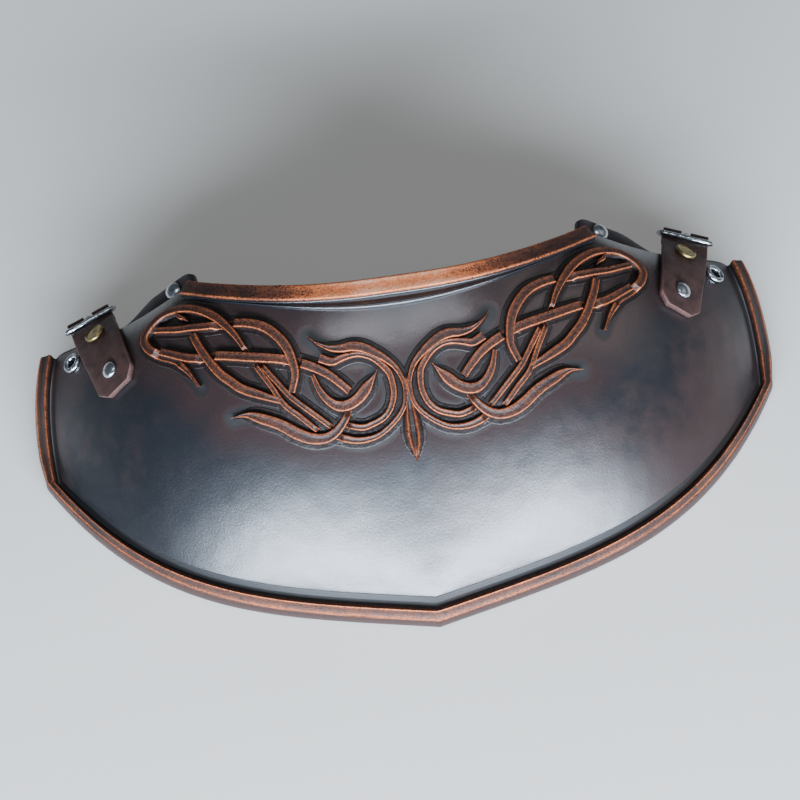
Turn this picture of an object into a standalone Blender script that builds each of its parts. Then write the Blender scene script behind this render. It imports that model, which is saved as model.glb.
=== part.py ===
"""A moulded leather gorget plate with raised knotwork, lying on its back.

The plate lies with its lower edge on the floor, the tip towards -Y and the neck towards +Y.
Everything follows one surface, given by surface_point for a share across and a share up.
"""

import math

import bmesh
import bpy
from mathutils import Matrix, Vector

MM = 0.001
GAP = 0.3 * MM                 # clearance between pieces that touch
RELIEF_GAP = 0.45 * MM         # the same, under raised work that follows the curve
STRAP_GAP = 0.8 * MM           # the same, between the plate and the straps below it
BACK_GAP = 0.7 * MM            # the same, between a curved underside and a flat back cap

# Plate outline, seen from above
HALF_WIDTH = 173 * MM          # centre line to a side corner
SIDE_BULGE = 3.7 * MM          # swell of the side edge between its corners
OUTER_CORNER_INSET = 2.5 * MM  # outer shoulder corner, in from the side corner
TIP_DEPTH = 100.5 * MM         # side corners to the tip
TIP_ROUNDNESS = 0.38           # share of the lower edge's fall that is straight
NECK_HALF_WIDTH = 91 * MM      # centre line to a neck corner
NECK_DEPTH = 27.5 * MM         # side corners to the middle of the neck edge
NECK_CORNER_DEPTH = 58 * MM    # side corners to a neck corner
NECK_CURVE = 2.4               # power of the neck curve
OUTER_CORNER_DEPTH = 62 * MM   # side corners to an outer shoulder corner
SHOULDER_DIP = 3.5 * MM        # hollow of the shoulder edge

# Plate form
CREST_HEIGHT = 92 * MM         # highest line of the surface above the edge
CROWN_POWER = 1.9              # fall of the crest towards the sides
CREST_SHARE_MIDDLE = 1.23      # crest place up a column, as a share of its length
CREST_SHARE_SHOULDER = 0.80
CREST_BLEND = 0.75             # share across at which the shoulder's crest is reached
SHOULDER_ROLL = 0.12           # share of the height lost behind the shoulder's crest
ROLL_START = 0.42              # share across at which the shoulder begins to roll off
ROLL_FULL = 0.78               # share across at which it does so fully
ROLL_LINE = 0.85               # highest share up at which the roll begins
OUTER_CORNER_LIFT = 14 * MM    # outer shoulder corner above the floor
LIFT_START = 0.25              # share up the side edge where it leaves the floor
LIFT_POWER = 3                 # fall of that lift towards the middle
PLATE_THICKNESS = 4.5 * MM
DRAFT_TIP = -0.7 * MM          # floor edge outside the top edge, at the tip
DRAFT_SIDE = 2.0 * MM          # the same, along the sides
DRAFT_REACH = 0.3              # share up the side edge where its draft is full
MITRE_LEAST = 0.5              # limit to how far a sharp corner's point is pushed out
GROOVE_WIDTH = 4.5 * MM
GROOVE_WALL = 1.0 * MM         # width of each sloping groove wall
GROOVE_DEPTH = 1.8 * MM

# Raised borders
BORDER_WIDTH = 8 * MM
BORDER_HEIGHT = 3.5 * MM
BORDER_TAPER = 0.5 * MM
NECK_BAND_WIDTH = 7.5 * MM
NECK_BAND_HEIGHT = 3.2 * MM
NECK_COVE_WIDTH = 3.0 * MM
NECK_COVE_HEIGHT = 1.0 * MM
NECK_RIDGE_WIDTH = 3.2 * MM
NECK_RIDGE_HEIGHT = 2.2 * MM
NECK_FADE_REACH = 75 * MM      # cove and ridge fade out towards the corners by here
NECK_FADE_LEAST = 0.15         # what is left of them there
NECK_BAND_SLOPE = 0.1          # share of the band's width that its outer slope takes
COVE_SLOPE = 0.4               # share of the cove's width that the band's inner slope takes
COVE_END = 0.9                 # share of the cove's width where the ridge starts to rise
RIDGE_SLOPE = 0.25             # share of the ridge's width that each of its slopes takes

# Knotwork
KNOT_PAST_NECK = 25 * MM       # outer loops, outside the neck corners
KNOT_LENGTH = 92 * MM
KNOT_TOP_FALL = 12 * MM        # top of the outer loops, below the neck corners' line
KNOT_HEIGHT = 2.8 * MM
CROSSING_DROP = 1.3 * MM       # how far a band sinks where it runs under another
KNOT_SPACING = 5.2 * MM        # between two sections of a band
KNOT_TAPER = 0.7               # top width as a share of the foot
POINT_LENGTH = 6 * MM          # length of a band's pointed end
POINT_WIDTH = 0.35             # width of that end, as a share
SPEAR_SHOULDER = 0.8           # height of the spear's sides, as a share of its ridge
SPEAR_LEAST = 0.4 * MM         # half width at the spear's tip
WIDE_BAND = 4.0 * MM
SLIM_BAND = 3.4 * MM
THIN_BAND = 2.2 * MM

# Buckle tab, placed by its foot on the plate
TAB_SHARE = 0.462              # share of the way from a neck corner to a side corner
TAB_FALL = 38 * MM             # its foot, below the neck corners' line
TAB_LEAN = math.radians(16.5)
TAB_LENGTH = 57 * MM           # foot to the buckle's middle bar, seen from above
TAB_WIDTH = 22.5 * MM
TAB_THICKNESS = 3.0 * MM
TAB_CHAMFER = 4.5 * MM
TAB_FLAT_MORE = 1.2 * MM       # how far it stays flat below the buckle's near bar
TAB_BEND = 4 * MM              # stretch in which it bends to the plate
TAB_STEPS = 7                  # sections along the part that follows the plate
LOOP_WALL = 1.8 * MM
FOLD_SET_IN = 0.2 * MM         # fold narrower than the tab, at each side
SLOT_CLEARANCE = 0.6 * MM
SLOT_DEPTH = 4.0 * MM

# Buckle
BUCKLE_SIDE_CLEARANCE = 0.4 * MM  # tab to a side of the frame
BUCKLE_REACH = 8.5 * MM        # middle bar to the near or far bar
BUCKLE_CORNER = 3.0 * MM
FRAME_BAR_RADIUS = 1.1 * MM
MIDDLE_BAR_RADIUS = 1.0 * MM
TONGUE_RADIUS = 0.8 * MM
TONGUE_EYE_WALL = 1.0 * MM
TONGUE_EYE_WIDTH = 3.4 * MM
TONGUE_OVERHANG = 1.6 * MM     # tongue tip beyond the far bar's middle
TONGUE_SHAPE = ((0.06, 0.9), (0.5, 1.0), (0.85, 1.0), (1.0, 0.7))  # share along, share of radius

# Shoulder strap
STRAP_UNDERLAP = 20 * MM
STRAP_OVERHANG = 11 * MM
STRAP_START_ROUND = 12 * MM    # length over which its neck end is rounded
STRAP_FLARE = 1.5 * MM         # more overhang near the neck
STRAP_RISE = 0.33              # slope by which it stands off the rolled shoulder there
STRAP_TWIST_START = 14 * MM    # outside a neck corner, where that flare and rise begin to fade
STRAP_TWIST_REACH = 14 * MM
STRAP_THICKNESS = 2.5 * MM
STRAP_END_ROUND = 14 * MM      # length over which its outer end is rounded
STRAP_INNER_END = 9 * MM       # its end, in from the side corner
STRAP_EDGE_DROP = 1.8 * MM     # extra fall under the thick side edge
STRAP_DROP_START = 0.85        # share across at which that fall starts
STRAP_DROP_REACH = 0.1         # share across over which it grows
STRAP_STEPS = 12
STRAP_BUNCHING = 0.8           # power that draws its sections together at the outer end
STRAP_ROWS = (0, 0.28, 0.55, 0.78, 1)

# Rivets and eyelets
SHANK_RADIUS = 1.6 * MM
BRASS_CAP_RADIUS = 5.2 * MM
BRASS_CAP_HEIGHT = 1.8 * MM
BRASS_PLACE = 37.5 * MM        # from the tab's foot
STEEL_CAP_RADIUS = 4.0 * MM
STEEL_CAP_HEIGHT = 2.2 * MM
STEEL_PLACE = 10.5 * MM
DOME_CAP_RADIUS = 4.2 * MM
DOME_CAP_HEIGHT = 2.6 * MM
DOME_PAST_NECK = 12 * MM       # outside a neck corner
DOME_PAST_EDGE = 6.0 * MM      # beyond the shoulder edge
CAP_EDGE_HEIGHT = 0.35         # top of a cap's steep edge, as a share of its height
CAP_EDGE_RADIUS = 0.93         # and as a share of its radius
CAP_BROW_HEIGHT = 0.85         # start of a cap's flatter crown
CAP_BROW_RADIUS = 0.65
BACK_CAP_RADIUS = 3.6 * MM
BACK_CAP_HEIGHT = 1.0 * MM
BACK_CAP_BEVEL = 0.9           # its outer face's radius, as a share
EYELET_PLACE = 38.5 * MM       # from the tab's foot
EYELET_TAB_CLEARANCE = 0.5 * MM
EYELET_FLANGE_RADIUS = 5.2 * MM
EYELET_BARREL_RADIUS = 3.6 * MM
EYELET_BORE_RADIUS = 2.6 * MM
EYELET_HEIGHT = 1.5 * MM
EYELET_BACK_HEIGHT = 0.9 * MM
EYELET_BACK_RADIUS = 0.85      # the back flange's radius, as a share of the front one's
EYELET_EDGE_RADIUS = 0.93      # top of the front flange's outer slope, as a share
EYELET_EDGE_HEIGHT = 0.6       # and of the slope into the bore, as a share of its height
EYELET_MOUTH = 1.15            # mouth of the bore, as a share of its radius

# Mesh counts and small steps
MERGE_DISTANCE = 0.002 * MM    # cut points this near are one
NORMAL_STEP = 0.2 * MM         # step over which the surface's slope is taken
PROBE_SHARE = 0.05             # step over which a share is measured on the surface
PLACE_PASSES = 6               # passes that find the shares of a place
NECK_COLUMNS = 10
SHOULDER_COLUMNS = 7
FIELD_ROWS = 10
TURN_STEPS = 12
BAR_SIDES = 8
CORNER_STEPS = 3
SMOOTH_ANGLE = math.radians(35)

# Knotwork of one half: width, bands it runs under, and its route as shares
# (across the half width, up the length from the spear's tip)
BANDS = {
    "outer_loop": (WIDE_BAND, ("crossbar",), (
        (.584, .605), (.612, .685), (.647, .761), (.690, .837), (.741, .902), (.810, .962),
        (.888, .989), (.948, .967), (.987, .908), (.974, .837), (.931, .772), (.879, .717),
        (.841, .658), (.810, .598), (.784, .533))),
    "upper_arc": (SLIM_BAND, ("outer_loop",), (
        (.940, .918), (.845, .859), (.784, .832), (.724, .804), (.664, .783), (.612, .761),
        (.560, .734), (.509, .696), (.466, .641), (.431, .571), (.414, .500), (.409, .435),
        (.431, .364))),
    "crossbar": (WIDE_BAND, ("upper_arc", "strut"), (
        (.922, .783), (.875, .739), (.832, .701), (.784, .668), (.707, .641), (.569, .571),
        (.440, .511), (.353, .457), (.293, .408), (.250, .359), (.216, .315))),
    "strut": (SLIM_BAND, ("upper_arc",), (
        (.793, .826), (.772, .739), (.750, .674), (.724, .609), (.694, .549), (.659, .500),
        (.621, .451), (.569, .408), (.517, .370), (.474, .342))),
    "outer_slat": (THIN_BAND, ("crossbar", "lower_band"), (
        (.574, .576), (.548, .511), (.509, .424), (.466, .326), (.414, .261), (.353, .185))),
    "inner_slat": (THIN_BAND, ("crossbar", "lower_band"), (
        (.560, .576), (.522, .500), (.487, .435), (.440, .353), (.384, .283), (.293, .180))),
    "hook": (WIDE_BAND, ("lower_band",), (
        (.345, .413), (.328, .348), (.302, .299), (.267, .266), (.228, .261), (.190, .277),
        (.155, .310), (.129, .342), (.103, .380))),
    "lower_band": (WIDE_BAND, (), (
        (.672, .342), (.612, .332), (.552, .293), (.491, .250), (.431, .196), (.379, .163),
        (.328, .152), (.284, .168), (.246, .207), (.224, .250))),
    "outer_scroll": (THIN_BAND, ("lower_band",), (
        (.345, .587), (.310, .543), (.267, .511), (.224, .500), (.190, .500), (.151, .489),
        (.112, .462), (.069, .424), (.034, .380), (.013, .326), (.009, .283), (.017, .228),
        (.043, .185), (.078, .152), (.121, .125), (.164, .114), (.224, .120), (.310, .160))),
    "inner_scroll": (THIN_BAND, ("lower_band",), (
        (.310, .478), (.267, .451), (.233, .457), (.194, .462), (.155, .457), (.116, .435),
        (.086, .402), (.060, .359), (.052, .304), (.056, .261), (.073, .217), (.103, .185),
        (.147, .168), (.190, .163), (.259, .190))),
}
# Outline of the hanging spear, from its foot between the scrolls to its tip
SPEAR = ((.013, .330), (.016, .250), (.012, .190), (.040, .142), (.016, .060), (.000, .000))


def smooth(share):
    share = min(max(share, 0.0), 1.0)
    return share * share * (3 - 2 * share)


def mix(low, high, share):
    return low + (high - low) * share


def half_width(up):
    bulge = SIDE_BULGE * math.sin(math.pi * min(max(up, 0.0), 1.0))
    return HALF_WIDTH + bulge - OUTER_CORNER_INSET * max(up, 0.0)


def lower_edge(across):
    across = abs(across)
    return TIP_DEPTH * (TIP_ROUNDNESS * across + (1 - TIP_ROUNDNESS) * across ** 4 - 1)


def upper_edge(x):
    """Neck edge between the neck corners, shoulder edge outside them."""
    x = abs(x)
    if x <= NECK_HALF_WIDTH:
        rise = (x / NECK_HALF_WIDTH) ** NECK_CURVE
        return mix(NECK_DEPTH, NECK_CORNER_DEPTH, rise)
    share = (x - NECK_HALF_WIDTH) / (half_width(1.0) - NECK_HALF_WIDTH)
    hollow = SHOULDER_DIP * 4 * share * max(1 - share, 0.0)
    return mix(NECK_CORNER_DEPTH, OUTER_CORNER_DEPTH, share) - hollow


def edge_lift(across, up):
    """How far the side edge leaves the floor towards the outer shoulder corner."""
    rise = smooth((up - LIFT_START) / (1 - LIFT_START))
    return OUTER_CORNER_LIFT * rise * abs(across) ** LIFT_POWER


def surface_height(across, up):
    crest_share = mix(CREST_SHARE_MIDDLE, CREST_SHARE_SHOULDER, smooth(abs(across) / CREST_BLEND))
    crest = CREST_HEIGHT * (1 - min(abs(across), 1.0) ** CROWN_POWER)
    rise = 1 - (max(crest_share - up, 0) / crest_share) ** 2
    roll_from = min(crest_share, ROLL_LINE)
    roll = SHOULDER_ROLL * smooth((abs(across) - ROLL_START) / (ROLL_FULL - ROLL_START))
    rise -= roll * (max(up - roll_from, 0) / (1 - roll_from)) ** 2
    return PLATE_THICKNESS + crest * rise + edge_lift(across, up)


def surface_point(across, up):
    x = across * half_width(up)
    low = lower_edge(across)
    y = mix(low, upper_edge(across * half_width(1.0)), up)
    return Vector((x, y, surface_height(across, up)))


def shares_at(x, y):
    """The shares across and up of a place seen from above."""
    up = 0.5
    for _ in range(PLACE_PASSES):
        across = x / half_width(up)
        low = lower_edge(across)
        up = (y - low) / (upper_edge(across * half_width(1.0)) - low)
    return across, up


def normal_at(x, y):
    step = NORMAL_STEP
    slope_x = (height_at(x + step, y) - height_at(x - step, y)) / (2 * step)
    slope_y = (height_at(x, y + step) - height_at(x, y - step)) / (2 * step)
    return Vector((-slope_x, -slope_y, 1)).normalized()


def height_at(x, y):
    return surface_height(*shares_at(x, y))


def lifted(x, y, lift):
    """A point at a height along the surface's normal."""
    return Vector((x, y, height_at(x, y))) + normal_at(x, y) * lift


def seat_frame(x, y, lift, forward):
    """Axes at a place on the surface: X across, Y along the plan direction forward, Z out."""
    normal = normal_at(x, y)
    right = Vector((forward[1], -forward[0], 0))
    right = (right - normal * right.dot(normal)).normalized()
    along = normal.cross(right)
    frame = Matrix((right, along, normal)).transposed().to_4x4()
    frame.translation = lifted(x, y, lift)
    return frame


def material(name, colour, roughness, metallic):
    result = bpy.data.materials.new(name)
    result.use_nodes = True
    shader = result.node_tree.nodes["Principled BSDF"]
    shader.inputs["Base Color"].default_value = (*colour, 1)
    shader.inputs["Roughness"].default_value = roughness
    shader.inputs["Metallic"].default_value = metallic
    return result


def add_object(name, points, faces, finish, frame=None):
    mesh = bpy.data.meshes.new(name)
    mesh.from_pydata([tuple(point) for point in points], [], faces)
    mesh.materials.append(finish)
    work = bmesh.new()
    work.from_mesh(mesh)
    bmesh.ops.triangulate(work, faces=work.faces, quad_method="SHORT_EDGE")
    bmesh.ops.recalc_face_normals(work, faces=work.faces)
    work.to_mesh(mesh)
    work.free()
    return add_mesh(name, mesh, frame)


def add_mesh(name, mesh, frame=None):
    result = bpy.data.objects.new(name, mesh)
    bpy.context.collection.objects.link(result)
    if frame:
        result.matrix_world = frame
    return result


def sweep(name, sections, finish, frame=None, closed=False):
    """Join equal rings of points into a closed body."""
    count = len(sections[0])
    points = [point for section in sections for point in section]
    faces = []
    spans = len(sections) if closed else len(sections) - 1
    for i in range(spans):
        here = i * count
        there = (i + 1) % len(sections) * count
        for j in range(count):
            k = (j + 1) % count
            faces.append((here + j, here + k, there + k, there + j))
    if not closed:
        faces.append(tuple(range(count)))
        faces.append(tuple(range(len(points) - 1, len(points) - count - 1, -1)))
    return add_object(name, points, faces, finish, frame)


def turned(name, profile, finish, frame):
    """Turn a closed profile of (radius, height) round the frame's Z."""
    sections = []
    for i in range(TURN_STEPS):
        angle = 2 * math.pi * i / TURN_STEPS
        sections.append([(r * math.cos(angle), r * math.sin(angle), z) for r, z in profile])
    return sweep(name, sections, finish, frame, closed=True)


def cylinder(name, radius, low, high, frame, finish):
    """A cylinder along the frame's Z."""
    sections = []
    for z in (low, high):
        sections.append([(radius * math.cos(a), radius * math.sin(a), z) for a in
                         (2 * math.pi * i / TURN_STEPS for i in range(TURN_STEPS))])
    return sweep(name, sections, finish, frame)


def merge_points(mesh):
    work = bmesh.new()
    work.from_mesh(mesh)
    bmesh.ops.remove_doubles(work, verts=work.verts, dist=MERGE_DISTANCE)
    work.to_mesh(mesh)
    work.free()


def combine(body, tool, operation):
    """Boolean a body with a tool, keep the result on the body and delete the tool."""
    bpy.context.view_layer.update()
    modifier = body.modifiers.new(operation.title(), "BOOLEAN")
    modifier.operation = operation
    modifier.solver = "EXACT"
    modifier.object = tool
    depsgraph = bpy.context.evaluated_depsgraph_get()
    mesh = bpy.data.meshes.new_from_object(body.evaluated_get(depsgraph))
    merge_points(mesh)
    body.modifiers.clear()
    body.data = mesh
    bpy.data.objects.remove(tool)


def smooth_shade(body):
    body.data.shade_smooth()
    body.data.set_sharp_from_angle(angle=SMOOTH_ANGLE)


def plan_share(across_from, up_from, across_to, up_to, width):
    """The share of the way between two places that covers a width on the surface."""
    start = surface_point(across_from, up_from)
    step = surface_point(mix(across_from, across_to, PROBE_SHARE), mix(up_from, up_to, PROBE_SHARE))
    return PROBE_SHARE * width / (step - start).length


def edge_steps():
    """Distances from the edge of the border's inner line and the groove's three lines."""
    line = BORDER_WIDTH + GAP
    floor = line + GROOVE_WALL
    end = floor + GROOVE_WIDTH - GROOVE_WALL
    return (0.0, line, floor, end, end + GROOVE_WALL)


def grid_across():
    """Shares across of the grid's columns, from the left side to the right."""
    steps = [1 - plan_share(1, 0.5, 0, 0.5, distance) for distance in edge_steps()]
    neck = NECK_HALF_WIDTH / half_width(1.0)
    middle = [neck * i / NECK_COLUMNS for i in range(NECK_COLUMNS + 1)]
    outer = [mix(neck, steps[-1], i / SHOULDER_COLUMNS) for i in range(1, SHOULDER_COLUMNS)]
    right = middle + outer + steps[::-1]
    return [-share for share in right[:0:-1]] + right


def grid_up(across):
    """Shares up of the grid's rows in one column."""
    steps = [plan_share(across, 0, across, 1, distance) for distance in edge_steps()]
    return steps + [mix(steps[-1], 1, i / FIELD_ROWS) for i in range(1, FIELD_ROWS + 1)]


def grid_places():
    return [[(across, up) for up in grid_up(across)] for across in grid_across()]


def groove_depth(column, row, columns):
    """Groove depth at a grid point, from its rank in from the nearest edge."""
    rank = min(column, row, columns - 1 - column)
    return GROOVE_DEPTH if rank in (2, 3) else 0.0


def plate_points(places):
    """Grids of the top and the underside, and the rim's ring on the floor."""
    columns = len(places)
    top = []
    under = []
    for i, column in enumerate(places):
        top.append([])
        under.append([])
        for j, (across, up) in enumerate(column):
            point = surface_point(across, up)
            normal = normal_at(point.x, point.y)
            top[-1].append(point - normal * groove_depth(i, j, columns))
            inner = point - normal * PLATE_THICKNESS
            floor = edge_lift(across, up)
            if i in (0, columns - 1) or j == 0 or inner.z < floor:
                inner.z = floor
            under[-1].append(inner)
    return top, under


def draft_at(across, up):
    """How far the wall's foot stands outside its top edge."""
    return mix(DRAFT_TIP, DRAFT_SIDE, (across * across + smooth(up / DRAFT_REACH)) / 2)


def rim_places(places):
    """Grid indices along the side, lower and side edges, from corner to corner."""
    last = len(places) - 1
    rows = len(places[0])
    left = [(0, j) for j in range(rows - 1, 0, -1)]
    low = [(i, 0) for i in range(last + 1)]
    return left + low + [(last, j) for j in range(1, rows)]


def outward(points, i):
    """Plan direction out of the outline at its point i, lengthened at a mitre."""
    before = points[max(i - 1, 0)]
    here = points[i]
    after = points[min(i + 1, len(points) - 1)]
    first = (here - before if i else after - here).to_2d().normalized()
    second = (after - here if i < len(points) - 1 else here - before).to_2d().normalized()
    total = Vector((first.y + second.y, -first.x - second.x)).normalized()
    return total / max(total.dot(Vector((first.y, -first.x))), MITRE_LEAST)


def foot_ring(places, top):
    """The rim's outer edge on the floor."""
    rim = rim_places(places)
    edge = [top[i][j] for i, j in rim]
    ring = []
    for k, (i, j) in enumerate(rim):
        across, up = places[i][j]
        shift = outward(edge, k) * draft_at(across, up)
        ring.append(Vector((edge[k].x + shift.x, edge[k].y + shift.y, edge_lift(across, up))))
    return ring


def build_plate(places, finish):
    top, under = plate_points(places)
    ring = foot_ring(places, top)
    rim = rim_places(places)
    columns, rows = len(places), len(places[0])
    size = columns * rows
    points = [p for column in top for p in column] + [p for column in under for p in column] + ring

    def at(i, j, layer):
        return layer * size + i * rows + j

    faces = []
    for layer in (0, 1):
        for i in range(columns - 1):
            for j in range(rows - 1):
                faces.append((at(i, j, layer), at(i + 1, j, layer),
                              at(i + 1, j + 1, layer), at(i, j + 1, layer)))
    for i in range(columns - 1):
        faces.append((at(i, rows - 1, 0), at(i + 1, rows - 1, 0),
                      at(i + 1, rows - 1, 1), at(i, rows - 1, 1)))
    for k in range(len(rim) - 1):
        here, there = rim[k], rim[k + 1]
        a, b = 2 * size + k, 2 * size + k + 1
        faces.append((at(*here, 0), at(*there, 0), b, a))
        faces.append((at(*here, 1), at(*there, 1), b, a))
    for k, place in ((0, rim[0]), (len(rim) - 1, rim[-1])):
        faces.append((at(*place, 0), at(*place, 1), 2 * size + k))
    return add_object("plate", points, faces, finish)


def build_outer_border(places, finish):
    """The raised strip round the sides and the lower edge, mitred at its corners."""
    top, _ = plate_points(places)
    ring = foot_ring(places, top)
    rim = rim_places(places)
    last = len(places) - 1
    sections = []
    for k, (i, j) in enumerate(rim):
        edge = top[i][j]
        column, row = min(max(i, 1), last - 1), max(j, 1)
        inner = top[column][row]
        at_mitre = row == 1 and column in (1, last - 1)
        anchor = top[0 if column == 1 else last][0] if at_mitre else edge
        inner_normal = normal_at(inner.x, inner.y)
        back = (anchor - inner).normalized()
        wall = (edge - ring[k]) / PLATE_THICKNESS
        foot = edge + normal_at(edge.x, edge.y) * GAP
        shoulder = foot + wall * BORDER_HEIGHT - back * BORDER_TAPER
        inner_foot = inner + inner_normal * GAP + back * GAP
        crown = inner_foot + inner_normal * BORDER_HEIGHT + back * BORDER_TAPER
        sections.append([foot, shoulder, crown, inner_foot])
    border = sweep("outer_border", sections, finish)
    merge_points(border.data)
    return border


def build_neck_border(finish):
    """The raised band along the neck edge, with a cove and a round ridge below it."""
    count = 2 * NECK_COLUMNS
    edge = []
    for i in range(count + 1):
        x = NECK_HALF_WIDTH * (i - NECK_COLUMNS) / NECK_COLUMNS
        edge.append(Vector((x, upper_edge(x), 0)))
    sections = []
    for i, place in enumerate(edge):
        inward = outward(edge, i)
        keep = mix(1, NECK_FADE_LEAST, smooth(abs(place.x) / NECK_FADE_REACH))
        cove = NECK_BAND_WIDTH + NECK_COVE_WIDTH * keep
        ridge = cove + NECK_RIDGE_WIDTH * keep
        ridge_height = mix(NECK_COVE_HEIGHT, NECK_RIDGE_HEIGHT, keep)
        profile = ((0, RELIEF_GAP), (NECK_BAND_SLOPE * NECK_BAND_WIDTH, NECK_BAND_HEIGHT),
                   (NECK_BAND_WIDTH, NECK_BAND_HEIGHT),
                   (mix(NECK_BAND_WIDTH, cove, COVE_SLOPE), NECK_COVE_HEIGHT),
                   (mix(NECK_BAND_WIDTH, cove, COVE_END), NECK_COVE_HEIGHT),
                   (mix(cove, ridge, RIDGE_SLOPE), ridge_height),
                   (mix(ridge, cove, RIDGE_SLOPE), ridge_height), (ridge, RELIEF_GAP),
                   (ridge * 2 / 3, RELIEF_GAP), (ridge / 3, RELIEF_GAP))
        section = []
        for distance, lift in profile:
            x = place.x + inward.x * distance
            y = place.y + inward.y * distance
            section.append(lifted(x, y, lift))
        sections.append(section)
    return sweep("neck_border", sections, finish)


def knot_place(share):
    half = NECK_HALF_WIDTH + KNOT_PAST_NECK
    top = NECK_CORNER_DEPTH - KNOT_TOP_FALL
    return Vector((share[0] * half, top - (1 - share[1]) * KNOT_LENGTH))


def smooth_route(shares):
    """Even points along a curve through the route's own points."""
    route = [knot_place(share) for share in shares]
    route = [2 * route[0] - route[1]] + route + [2 * route[-1] - route[-2]]
    points = []
    for i in range(1, len(route) - 2):
        before, start, end, after = route[i - 1:i + 3]
        steps = max(1, round((end - start).length / KNOT_SPACING))
        for step in range(steps):
            t = step / steps
            points.append(0.5 * (2 * start + (end - before) * t
                                 + (2 * before - 5 * start + 4 * end - after) * t * t
                                 + (3 * start - before - 3 * end + after) * t ** 3))
    points.append(route[-2])
    return points


def crossing_depth(place, overs, routes):
    """How far a band sinks at a place because of the bands that run over it."""
    depth = 0.0
    for over in overs:
        nearest = min((place - point).length for point in routes[over])
        depth = max(depth, CROSSING_DROP * (1 - smooth((nearest - WIDE_BAND / 2) / WIDE_BAND)))
    return depth


def band_width(route, i, width):
    """Width of a band, narrowed at its pointed ends."""
    nearest = min((route[i] - route[0]).length, (route[i] - route[-1]).length)
    return width * mix(POINT_WIDTH, 1, min(nearest / POINT_LENGTH, 1))


def build_band(name, routes, finish):
    width, overs, _ = BANDS[name]
    route = routes[name]
    sections = []
    for i, place in enumerate(route):
        along = route[min(i + 1, len(route) - 1)] - route[max(i - 1, 0)]
        side = Vector((along.y, -along.x)).normalized()
        half = band_width(route, i, width) / 2
        lift = KNOT_HEIGHT - crossing_depth(place, overs, routes)
        section = []
        for reach, height in ((-half, RELIEF_GAP), (-half * KNOT_TAPER, lift),
                              (half * KNOT_TAPER, lift), (half, RELIEF_GAP)):
            spot = place + side * reach
            section.append(lifted(spot.x, spot.y, height))
        sections.append(section)
    return sweep(name, sections, finish)


def build_spear(finish):
    sections = []
    for share in SPEAR:
        place = knot_place(share)
        half = max(place.x, SPEAR_LEAST)
        section = []
        shoulder = KNOT_HEIGHT * SPEAR_SHOULDER
        for x, height in ((-half, RELIEF_GAP), (-half * KNOT_TAPER, shoulder), (0, KNOT_HEIGHT),
                          (half * KNOT_TAPER, shoulder), (half, RELIEF_GAP)):
            section.append(lifted(x, place.y, height))
        sections.append(section)
    return sweep("spear", sections, finish)


def mirrored(body, name):
    """A copy of a body on the other side of the middle."""
    mesh = body.data.copy()
    mesh.transform(Matrix.Scale(-1, 4, (1, 0, 0)))
    mesh.flip_normals()
    return add_mesh(name, mesh)


def build_knotwork(finish):
    """All bands of both halves and the spear between them, as one cut-out."""
    routes = {name: smooth_route(band[2]) for name, band in BANDS.items()}
    knot = build_band("outer_loop", routes, finish)
    knot.name = "knotwork"
    for name in BANDS:
        if name != "outer_loop":
            combine(knot, build_band(name, routes, finish), "UNION")
    combine(knot, mirrored(knot, "left_half"), "UNION")
    combine(knot, build_spear(finish), "UNION")
    return knot


def tab_direction(side):
    return Vector((side * math.sin(TAB_LEAN), math.cos(TAB_LEAN)))


def tab_place(side, distance, across=0.0):
    """A place on the tab's line, seen from above, moved across it on the surface."""
    forward = tab_direction(side)
    foot = Vector((side * mix(NECK_HALF_WIDTH, HALF_WIDTH, TAB_SHARE), NECK_CORNER_DEPTH - TAB_FALL))
    middle = foot + forward * distance
    right = seat_frame(middle.x, middle.y, 0, forward).to_3x3().col[0]
    return middle + right.to_2d() * across


def loop_frame(side):
    """Axes of the buckle's middle bar: X along the bar, Y away from the tab, Z out."""
    place = tab_place(side, TAB_LENGTH)
    return seat_frame(place.x, place.y, GAP + TAB_THICKNESS / 2, tab_direction(side))


def bar_axis(frame):
    """The frame turned so that its Z lies along the buckle's bars."""
    return frame @ Matrix.Rotation(math.radians(90), 4, "Y")


def loop_radius():
    return MIDDLE_BAR_RADIUS + GAP + LOOP_WALL


def rivet_frame(side, distance):
    place = tab_place(side, distance)
    return seat_frame(place.x, place.y, 0, tab_direction(side))


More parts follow.
